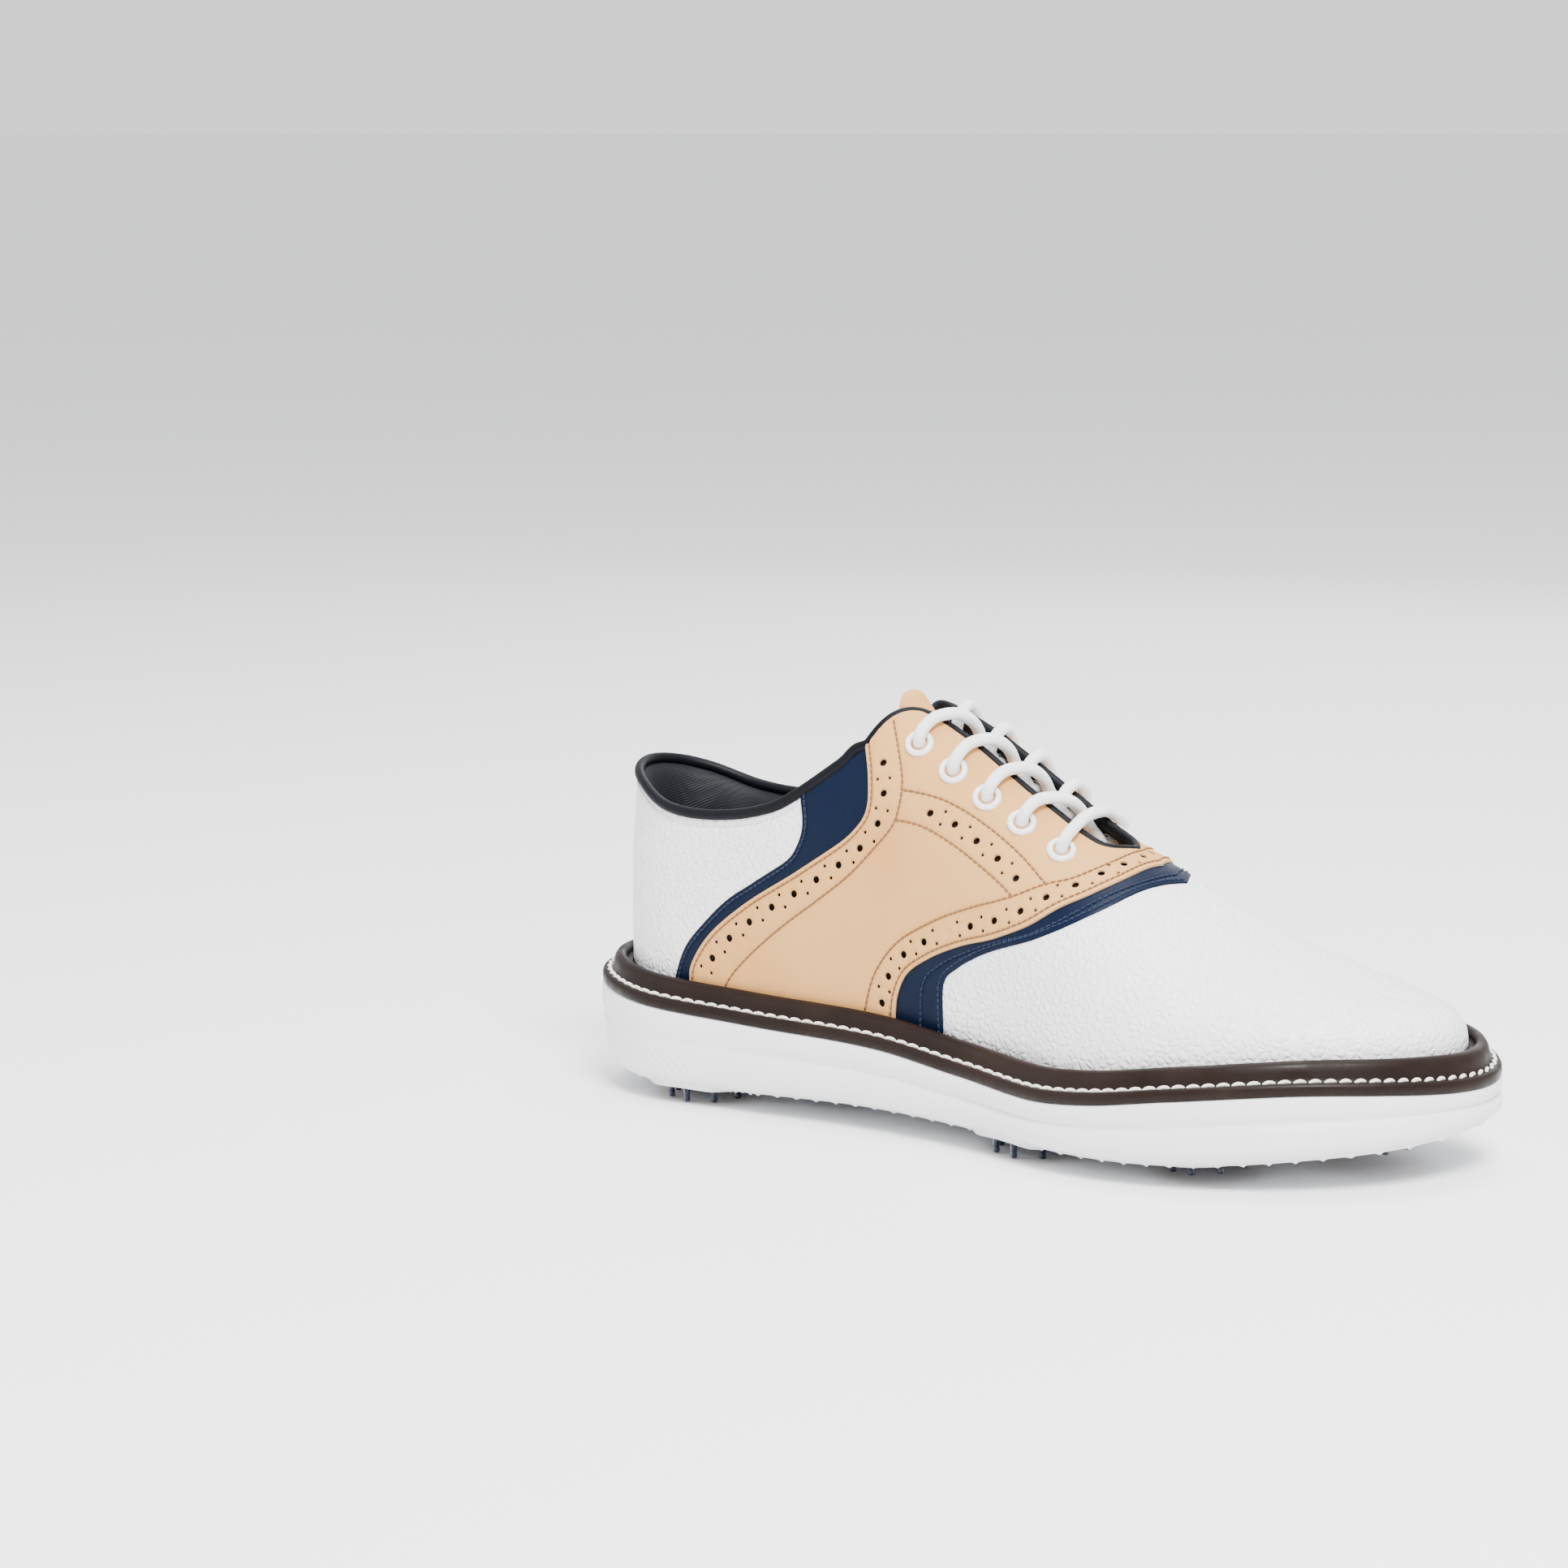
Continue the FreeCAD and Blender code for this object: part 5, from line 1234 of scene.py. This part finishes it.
def tongue():
    rows, columns = 70, 49
    i, j = np.meshgrid(np.linspace(0, 1, rows), np.linspace(-1, 1, columns), indexing="ij")
    i, j = i.ravel(), j.ravel()
    u, v, x = tongue_grid(j, i)
    rise = 9 * ease((-27 - x) / 14) * ease((v - 0.72) / 0.22)
    from_top, from_side = i * 84, (1 - np.abs(j)) * 38
    margin = np.minimum(np.minimum(from_top, from_side), (1 - i) * 84)
    edge_thin = 1 - ease(margin / 2.2)
    seam = np.exp(-((margin - 4.2) / 0.8) ** 2)
    crown = ease((margin - 4.2) / 9)
    open_top = ease((-24 - x) / 12)
    outer = TONGUE_DEPTH - rise - crown * (0.25 + 1.5 * open_top) + 0.35 * seam + 0.5 * edge_thin
    leather_in = TONGUE_DEPTH - rise + TONGUE_LEATHER - 0.3 * edge_thin
    pad_out = leather_in + 0.1
    pad_in = (pad_out + TONGUE_PAD * (0.35 + 0.65 * ease(margin / 6)) - 0.5 * edge_thin
              + 0.2 * np.sin(x * 0.7) * crown)

    def closed(out_depth, in_depth):
        outside = shoe(u, v, out_depth).reshape(rows, columns, 3)
        within = shoe(u, v, in_depth).reshape(rows, columns, 3)
        return sweep(np.concatenate([outside, within[:, ::-1]], axis=1), caps=True)
    verts, faces = closed(outer, leather_in)
    face = make("tongue_leather", verts, faces, ["leather_tan"], ["tongue"], "tongue_flap", 70)
    verts, faces = closed(pad_out, pad_in)
    pad = make("tongue_padding", verts, faces, ["lining_cloth"], ["tongue_foam", "tongue_lining"],
               "tongue_flap", 70)


def footbed():
    """moulded insole: cloth over foam, cupped up round its edge"""
    count = 240
    u = np.linspace(0, 1, count, endpoint=False)
    rim = edge(u, 14.9)
    spine = np.stack([np.clip(rim[:, 0], -112, 104),
                      np.interp(rim[:, 0], [-140, -60, 20, 80, 130], [0, -2, 0, 0, 6])], 1)
    r = np.concatenate([np.linspace(0, 0.8, 9), [0.88, 0.93, 0.965, 0.985, 0.997, 1.0]])
    rounding = np.where(r > 0.999, 1.6, np.where(r > 0.99, 0.5, 0.0))
    profile = list(zip(r, 11.0 + 2.0 * r ** 5 - rounding))
    profile += [(1.0, 8.2), (0.985, 7.4), (0.5, 7.2), (0.0, 7.2)]
    rings = []
    for p, s in zip(rim, spine):
        row = []
        for share, rise in profile:
            q = s + (p - s) * share
            dimple = 0.12 * math.sin(q[0] * 0.35) * math.cos(q[1] * 0.3) * (1 - share)
            row.append((q[0], q[1], float(graph(SOLE_TOP, q[0])) + rise + dimple))
        rings.append(row)
    verts, faces = sweep(rings, closed_path=True, closed_ring=False)
    bed = make("footbed_cushion", verts, faces, ["footbed_cloth"], ["footbed"], smooth_angle=60)


linings()
collar_pad()
tongue()
footbed()

# ------------------------------------------------------------------ welt and midsole

SOLE_STATIONS = 720
WELT_SECTION = [(0.95, 0.15), (0.6, 0.5), (0.45, 1.6), (0.55, 2.8), (1.0, 3.6), (1.8, 3.85), (2.3, 3.7),
                (2.8, 3.45), (3.3, 3.7), (3.55, 4.1), (3.85, 5.0), (4.15, 6.4), (4.6, 7.9), (5.3, 8.9),
                (6.2, 9.4), (7.2, 9.35), (8.1, 8.8), (8.4, 7.8), (8.5, 6.95), (10.2, 6.9), (10.2, 0.15)]
STITCH_PITCH, STITCH_LENGTH, STITCH_RADIUS = 4.4, 3.7, 0.62


def sole_rings(section):
    """rings round the sole from (inset, height) pairs; heights are above the midsole's top line"""
    u = np.linspace(0, 1, SOLE_STATIONS, endpoint=False)
    columns = []
    for inset, rise in section:
        p = edge(u, inset)
        columns.append(np.column_stack([p, graph(SOLE_TOP, p[:, 0]) + rise]))
    return np.stack(columns, 1)


def welt():
    closed = np.array(WELT_SECTION + WELT_SECTION[:1])
    verts, faces = sweep(sole_rings([tuple(p) for p in closed[:-1]]), closed_path=True)
    make("welt_strip", verts, faces, ["welt_brown"], ["welt"], smooth_angle=50)
    u = U_STEPS
    line = edge(u, 2.8)
    run = lengths(line)
    count = int(round(run[-1] / STITCH_PITCH))
    parts = []
    f = np.array([-1.0, -0.85, -0.5, 0.0, 0.5, 0.85, 1.0])
    for k in range(count):
        at = np.interp((k + 0.5) / count * run[-1] + f * STITCH_LENGTH / 2, run, u)
        p = np.vstack([edge(a, 2.75 + 0.5 * g) for a, g in zip(at, f)])
        rise = 3.55 + 0.62 * (1 - f ** 2)
        points = np.column_stack([p, graph(SOLE_TOP, p[:, 0]) + rise])
        parts.append(tube(points, STITCH_RADIUS * np.array([0.35, 0.7, 0.95, 1.0, 0.95, 0.7, 0.35]), 8))
    verts, faces = joined(parts)
    make("welt_stitches", verts, faces, ["thread_white"], ["welt_thread"], smooth_angle=80)


SIDEWALL = [(9.0, 0.0), (1.3, 0.0), (0.75, 0.015), (0.35, 0.05), (0.15, 0.11), (0.1, 0.2), (0.25, 0.29),
            (0.6, 0.36), (0.95, 0.41), (0.8, 0.45), (0.45, 0.5), (0.2, 0.57), (0.1, 0.66), (0.25, 0.76),
            (0.7, 0.85), (1.6, 0.925), (2.9, 0.975), (4.6, 1.0), (9.0, 1.0)]


def midsole():
    """foam sidewall: a soft crease along its middle, rolled in towards the tread"""
    u = np.linspace(0, 1, SOLE_STATIONS, endpoint=False)
    rings = []
    for inset, share in SIDEWALL:
        p = edge(u, inset)
        x = p[:, 0]
        high, low = graph(SOLE_TOP, x), graph(TREAD, x) + 1.4
        heel = ease((-55 - x) / 40)
        crease = np.exp(-((share - 0.41) / 0.08) ** 2) * (0.55 * (1 - heel))
        lower_roll = heel * 0.9 * ease((share - 0.45) / 0.2) * (1 - ease((share - 0.85) / 0.1))
        p = edge(u, inset + crease + lower_roll)
        rings.append(np.column_stack([p, high + (low - high) * share]))
    grid = np.stack(rings, 1)
    verts, faces = sweep(grid, closed_path=True)
    make("midsole_foam", verts, faces, ["midsole_white"], ["midsole"], smooth_angle=60)


welt()
midsole()

# ------------------------------------------------------------------ tread, pods, cleats and plaque

CLEATS = {"toe_front": (116, 8), "toe_inner": (74, 31), "toe_outer": (79, -25), "ball_inner": (14, 20),
          "ball_outer": (21, -28.5), "heel_inner": (-110, 18.5), "heel_outer": (-105, -19)}
PODS = {"toe": ("toe_front", "toe_inner", "toe_outer"), "ball": ("ball_inner", "ball_outer"),
        "heel": ("heel_inner", "heel_outer")}
POD_LINKS = {"toe": (("toe_front", "toe_inner"), ("toe_inner", "toe_outer")),
             "ball": (("ball_inner", "ball_outer"),), "heel": (("heel_inner", "heel_outer"),)}
POD_RADIUS, POD_BAR, POD_SOFTEN, POD_PROUD, POD_THICK = 16.2, 6.2, 6.0, 0.6, 3.2
POD_EDGE, POD_CORNER = 6.2, 6.0
SEAT_RADIUS, SEAT_DEPTH = 13.9, 1.4
GROUND, TOE_RISE, TOE_SLOPE = 6.0, 1.15, 3.8 / 42
OUTSOLE_INSET, OUTSOLE_THICK = 4.4, 4.9


def tread_frame(x):
    """height of the cleat plane over x, and the matrix from a cleat's own axes to the shoe's"""
    if x <= 60:
        return GROUND, np.eye(3)
    tilt = math.atan(TOE_SLOPE)
    return (GROUND + TOE_RISE + TOE_SLOPE * (x - 74),
            np.array([[math.cos(tilt), 0, -math.sin(tilt)], [0, 1, 0], [math.sin(tilt), 0, math.cos(tilt)]]))


def sole_width(inset):
    """x of stations, and the lateral and medial borders there, of the outline moved in by inset"""
    p = edge(U_STEPS, inset)
    toe = int(np.argmax(p[:, 0]))
    lateral, medial = p[:toe + 1], p[toe:][::-1]
    return p[0, 0], p[toe, 0], lateral, medial


def borders(x, inset):
    _, _, lateral, medial = sole_width(inset)
    return (np.interp(x, np.maximum.accumulate(lateral[:, 0]), lateral[:, 1]),
            np.interp(x, np.maximum.accumulate(medial[:, 0]), medial[:, 1]))


def blended(a, b, width):
    """the smaller of two distances, with a soft change from one to the other"""
    h = np.clip(0.5 + 0.5 * (a - b) / width, 0, 1)
    return a * (1 - h) + b * h - width * h * (1 - h)


def pod_distance(name, x, y):
    """signed distance to a pod's outline: discs round the cleats, softly joined by bars"""
    links = [(CLEATS[a], CLEATS[b]) for a, b in POD_LINKS[name]]
    discs = np.min([np.hypot(x - CLEATS[c][0], y - CLEATS[c][1]) - POD_RADIUS for c in PODS[name]], axis=0)
    bars = []
    for (ax, ay), (bx, by) in links:
        t = np.clip(((x - ax) * (bx - ax) + (y - ay) * (by - ay)) / ((bx - ax) ** 2 + (by - ay) ** 2), 0, 1)
        bars.append(np.hypot(x - ax - t * (bx - ax), y - ay - t * (by - ay)) - POD_BAR)
    bar = np.min(bars, axis=0)
    low, high = borders(x, POD_EDGE)
    return -blended(-blended(bar, discs, POD_SOFTEN), -np.maximum(low - y, y - high), POD_CORNER)


CHANNEL = [(-152, -0.3), (-143, -0.2), (-137, 0.30), (-131, 0.5), (-124, 0.5), (-119, 0.3), (-113, -0.2),
           (-99, -0.2), (-94, 0.45), (-88, 0.5), (-70, 0.36), (-45, 0.25), (-20, 0.34), (-2, 0.52), (8, 0.42),
           (16, -0.2), (24, -0.2), (31, 0.45), (38, 0.56), (56, 0.5), (66, 0.36), (74, -0.2), (86, -0.2),
           (91, 0.12), (99, 0.16), (106, -0.2), (152, -0.3)]


def relief(x, y):
    """how far the tread stands towards the ground, in mm"""
    low, high = borders(x, OUTSOLE_INSET)
    centre, half = (low + high) / 2, np.maximum((high - low) / 2, 1)
    q = y - centre
    channel = np.clip(graph(CHANNEL, x), -1, 1) * half - np.abs(q)
    in_channel = ease(channel / 2.4 + 0.5)
    slant = x + 0.2 * q
    heel = ease((-78 - x) / 10)
    bow = slant - heel * (q / 9) ** 2 * 0.9
    pitch = 7.2 - 3.4 * heel
    line = np.abs((bow / pitch) % 1 - 0.5) * pitch
    thin = np.exp(-(line / 0.62) ** 2) * 0.8
    wide = np.cos(math.pi * np.clip(line / (0.36 * pitch), 0, 1)) * 0.42
    side_room = ease((half - np.abs(q) - 1.2) / 1.5)
    waist = ease((x + 100) / 8) * (1 - ease((x - 12) / 6))
    band = np.exp(-((channel + 1.7) / 1.25) ** 4) * 0.75 * waist
    height = thin * (1 - in_channel) * side_room + in_channel * (wide - 2.1) + band * (1 - in_channel * 0.4)
    for name in PODS:
        d = pod_distance(name, x, y)
        quiet = ease((d - 2.2) / 1.6)
        height = height * quiet + 0.15 * (1 - quiet)
        lip = np.exp(-((d - 1.35) / 0.95) ** 4) * 1.15
        inside_pod = ease(0.5 - d / 0.8)
        height = height + lip * (1 - inside_pod) - 4.2 * inside_pod
    plaque = np.maximum(np.abs(x + 64) - 14.2, np.abs(y) - 13.2)
    rim = np.exp(-((plaque - 0.9) / 0.8) ** 4) * 0.5
    near = ease((plaque - 1.8) / 1.2)
    height = height * near + rim - (1 - ease((plaque + 0.4) / 0.5)) * 1.0
    return height


def crowded(t, end):
    """0 to 1, with smaller and smaller steps towards both ends"""
    middle = end / 2 + (t - end) * (1 - end) / (1 - 2 * end)
    return np.where(t < end, t ** 2 / end / 2, np.where(t > 1 - end, 1 - (1 - t) ** 2 / end / 2, middle))


def outsole():
    """ribbed rubber tread with a sunk channel, raised bands and a lip round each pod"""
    x_low, x_high, _, _ = sole_width(OUTSOLE_INSET)
    rows, columns = 460, 170
    x = x_low + (x_high - x_low) * crowded(np.linspace(0, 1, rows), 0.035)
    low, high = borders(x, OUTSOLE_INSET)
    s = np.linspace(0, 1, columns)
    gx = np.repeat(x[:, None], columns, 1)
    gy = low[:, None] + (high - low)[:, None] * s[None]
    height = relief(gx.ravel(), gy.ravel()).reshape(rows, columns)
    rim = np.minimum(np.minimum(s[None] * (high - low)[:, None], (1 - s)[None] * (high - low)[:, None]),
                     np.minimum(gx - x_low, x_high - gx))
    rounding = 0.9 * (1 - ease(rim / 2.2))
    base = graph(TREAD, gx.ravel()).reshape(rows, columns)
    under = np.stack([gx, gy, base - height + rounding], 2)
    over = np.stack([gx, gy, base + OUTSOLE_THICK], 2)[:, [0, -1]]
    rings = np.concatenate([under, over[:, ::-1]], axis=1)
    verts, faces = sweep(rings, caps=True)
    hatch = []
    middle = (under[:-1, :-1] + under[1:, 1:]) / 2
    mx, my = middle[..., 0].ravel(), middle[..., 1].ravel()
    lo, hi = borders(mx, OUTSOLE_INSET)
    half = (hi - lo) / 2
    channel = graph(CHANNEL, mx) * half - np.abs(my - (lo + hi) / 2)
    clear = np.min([pod_distance(name, mx, my) for name in PODS], axis=0)
    to_border = half - np.abs(my - (lo + hi) / 2)
    marked = ((channel < -3.4) & (clear > 2.6) & (to_border > 2.5)).reshape(rows - 1, -1)
    m = columns + 2
    for a in range(rows - 1):
        hatch += [1 if k < columns - 1 and marked[a, k] else 0 for k in range(m)]
    hatch += [0, 0]
    make("outsole_tread", verts, faces, ["outsole_white", "outsole_hatched"], ["outsole"],
         smooth_angle=50, kinds=hatch)


def pods():
    """translucent amber plates with rounded borders and a sunk seat for each cleat"""
    step = 0.75
    for name, group in PODS.items():
        xs = np.array([CLEATS[c][0] for c in group])
        ys = np.array([CLEATS[c][1] for c in group])
        gx, gy = np.meshgrid(np.arange(xs.min() - 19, xs.max() + 19, step),
                             np.arange(ys.min() - 19, ys.max() + 19, step), indexing="ij")
        shape = gx.shape
        px, py = gx.ravel().copy(), gy.ravel().copy()
        for _ in range(3):
            d = pod_distance(name, px, py)
            slope_x = (pod_distance(name, px + 0.05, py) - d) / 0.05
            slope_y = (pod_distance(name, px, py + 0.05) - d) / 0.05
            size_of = np.maximum(slope_x ** 2 + slope_y ** 2, 0.2)
            near = np.abs(d) < 0.72 * step
            px = np.where(near, px - d * slope_x / size_of, px)
            py = np.where(near, py - d * slope_y / size_of, py)
        d = pod_distance(name, px, py)
        keep = (d < 0.06).reshape(shape)
        height, turn = tread_frame(CLEATS[group[0]][0])
        plane = GROUND + TOE_RISE + TOE_SLOPE * (px - 74) if turn[0, 2] else np.full(len(px), height)
        seats = np.min([np.hypot(px - CLEATS[c][0], py - CLEATS[c][1]) for c in group], axis=0)
        seat = SEAT_DEPTH * (1 - ease((seats - SEAT_RADIUS + 1.0) / 1.6)) * ease((-d - 1.0) / 1.8)
        depth = -POD_PROUD + 0.75 * (1 - ease(-d / 1.3)) + seat
        inner_line = np.exp(-((-d - 3.4) / 0.45) ** 2) * 0.22 * ease((seats - SEAT_RADIUS - 0.5) / 1.0)
        bottom = np.column_stack([px, py, plane + depth + inner_line])
        top = np.column_stack([px, py, plane + POD_THICK + 0 * px])
        index = np.arange(len(px)).reshape(shape)
        cells = keep[:-1, :-1] & keep[1:, :-1] & keep[1:, 1:] & keep[:-1, 1:]
        quads = np.stack([index[:-1, :-1], index[:-1, 1:], index[1:, 1:], index[1:, :-1]], 2)[cells]
        corner_faces = []
        corners = [(index[:-1, :-1], keep[:-1, :-1]), (index[:-1, 1:], keep[:-1, 1:]),
                   (index[1:, 1:], keep[1:, 1:]), (index[1:, :-1], keep[1:, :-1])]
        for a, b, c, e in ((0, 1, 2, 3), (1, 2, 3, 0), (2, 3, 0, 1), (3, 0, 1, 2)):
            lone = corners[a][1] & corners[b][1] & corners[c][1] & ~corners[e][1]
            corner_faces += np.stack([corners[a][0], corners[b][0], corners[c][0]], 2)[lone].tolist()
        under = quads.tolist() + corner_faces
        n = len(px)
        directed = {(f[k], f[(k + 1) % len(f)]) for f in under for k in range(len(f))}
        walls = [(q, p, p + n, q + n) for p, q in directed if (q, p) not in directed]
        faces = under + [[i + n for i in f[::-1]] for f in under] + walls
        verts, faces = used_only(np.vstack([bottom, top]), faces)
        make("pod_plate_" + name, verts, faces, ["pod_amber"], ["cleat_pod_" + name], smooth_angle=50)


HUB_SECTION = [(0, -2.75), (1.4, -2.8), (2.6, -2.72), (4.4, -2.5), (6.6, -1.95), (8.3, -1.4), (9.1, -0.95),
               (9.4, -0.3), (9.3, 0.45), (8.8, 0.7), (3.95, 0.7), (3.95, 6.95), (0, 6.95)]
LEG_PATH = [(7.6, -0.2), (9.0, -0.15), (10.3, -0.4), (11.1, -1.1), (11.5, -2.2), (11.6, -3.3), (11.5, -4.1),
            (11.45, -4.6), (11.4, -5.0), (11.4, -5.35), (11.4, -5.62), (11.4, -5.8)]
SPUR_PATH = [(8.4, -0.75), (9.6, -0.85), (10.4, -1.05), (10.9, -1.4)]
SPUR_RADII = [0.75, 0.7, 0.55, 0.3]
LEG_RADII = [1.5, 1.45, 1.35, 1.25, 1.15, 1.02, 0.95, 1.02, 1.08, 1.02, 0.8, 0.4]


LEGS, WEDGES = 8, 10


def cleat_parts():
    """one cleat about its own axis, ground side down: dark body parts, then silver wedges"""
    turn = circle(56)
    section = np.array(HUB_SECTION)
    rings = np.array([[(r * math.cos(a), r * math.sin(a), z) for r, z in section] for a in turn])
    dark = [sweep(rings, closed_path=True, closed_ring=False)]
    along = np.linspace(0, len(LEG_PATH) - 1, 34)
    leg = round_path(LEG_PATH, along, closed=False)
    leg_radii = np.interp(along, range(len(LEG_RADII)), LEG_RADII)
    for k in range(LEGS):
        a = 2 * math.pi * k / LEGS
        c, s = math.cos(a), math.sin(a)
        dark.append(tube([(r * c, r * s, z) for r, z in leg], leg_radii, 14))
        b = a + math.pi / LEGS
        c, s = math.cos(b), math.sin(b)
        dark.append(tube([(r * c, r * s, z) for r, z in SPUR_PATH], SPUR_RADII, 10))
    for k in range(2):
        a = math.pi * (k + 0.25)
        pit = np.array([[(3.4 * math.cos(a) + r * math.cos(b), 3.4 * math.sin(a) + r * math.sin(b), z)
                         for r, z in ((0.55, -2.5), (0.6, -2.98), (0.95, -3.0), (1.0, -2.5))]
                        for b in circle(18)])
        dark.append(sweep(pit, closed_path=True))
    silver = []
    for k in range(WEDGES):
        a = 2 * math.pi * (k + 0.5) / WEDGES
        out, across = np.array([math.cos(a), math.sin(a), 0]), np.array([-math.sin(a), math.cos(a), 0])
        rows = []
        for r, w in ((2.3, 0.28), (2.6, 0.4), (4.6, 0.72), (6.9, 1.08), (7.3, 0.95)):
            dome = float(np.interp(r, section[:8, 0], section[:8, 1]))
            low = dome + 0.2
            top = dome - (0.32 if 2.3 < r < 7.3 else 0.12)
            rows.append([out * r + across * w * g + np.array([0, 0, z]) for g, z in
                         ((-1, low), (-1, top + 0.1), (-0.8, top), (0.8, top), (1, top + 0.1), (1, low))])
        silver.append(sweep(np.array(rows), caps=True))
    return joined(dark), joined(silver)


def cleats():
    (dark, dark_faces), (silver, silver_faces) = cleat_parts()
    local = np.vstack([dark, silver])
    faces = dark_faces + [[i + len(dark) for i in f] for f in silver_faces]
    kinds = [0] * len(dark_faces) + [1] * len(silver_faces)
    for name, (x, y) in CLEATS.items():
        height, turn = tread_frame(x)
        verts = local @ turn.T + np.array([x, y, height])
        make("cleat_body_" + name, verts, faces, ["cleat_navy", "cleat_silver"], ["cleat_" + name],
             "cleat_" + name, 45, kinds)


def plaque():
    """plain plate in the waist, with a raised border and softened edges"""
    low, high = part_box("sole_plaque")
    centre = np.array([(low[0] + high[0]) / 2, (low[1] + high[1]) / 2]) / MM
    half = np.array([(high[0] - low[0]) / 2, (high[1] - low[1]) / 2]) / MM
    bottom, top = low[2] / MM, high[2] / MM
    turn = circle(96)
    rings = []
    for inset, z in ((0.0, top), (0.0, bottom + 0.25), (0.12, bottom + 0.06), (0.4, bottom), (1.7, bottom),
                     (2.0, bottom + 0.08), (2.3, bottom + 0.35), (2.8, bottom + 0.4), (8.0, bottom + 0.36),
                     (11.5, bottom + 0.34)):
        a, b = half[0] - inset, half[1] - inset
        sharp = 2 / 5.5
        c, s = np.cos(turn), np.sin(turn)
        x = centre[0] + a * np.sign(c) * np.abs(c) ** sharp
        y = centre[1] + b * np.sign(s) * np.abs(s) ** sharp
        rings.append(np.column_stack([x, y, np.full(len(turn), z)]))
    verts, faces = sweep(np.array(rings), caps=True)
    make("plaque_plate", verts, faces, ["plaque_navy"], ["sole_plaque"], smooth_angle=45)


outsole()
pods()
cleats()
plaque()
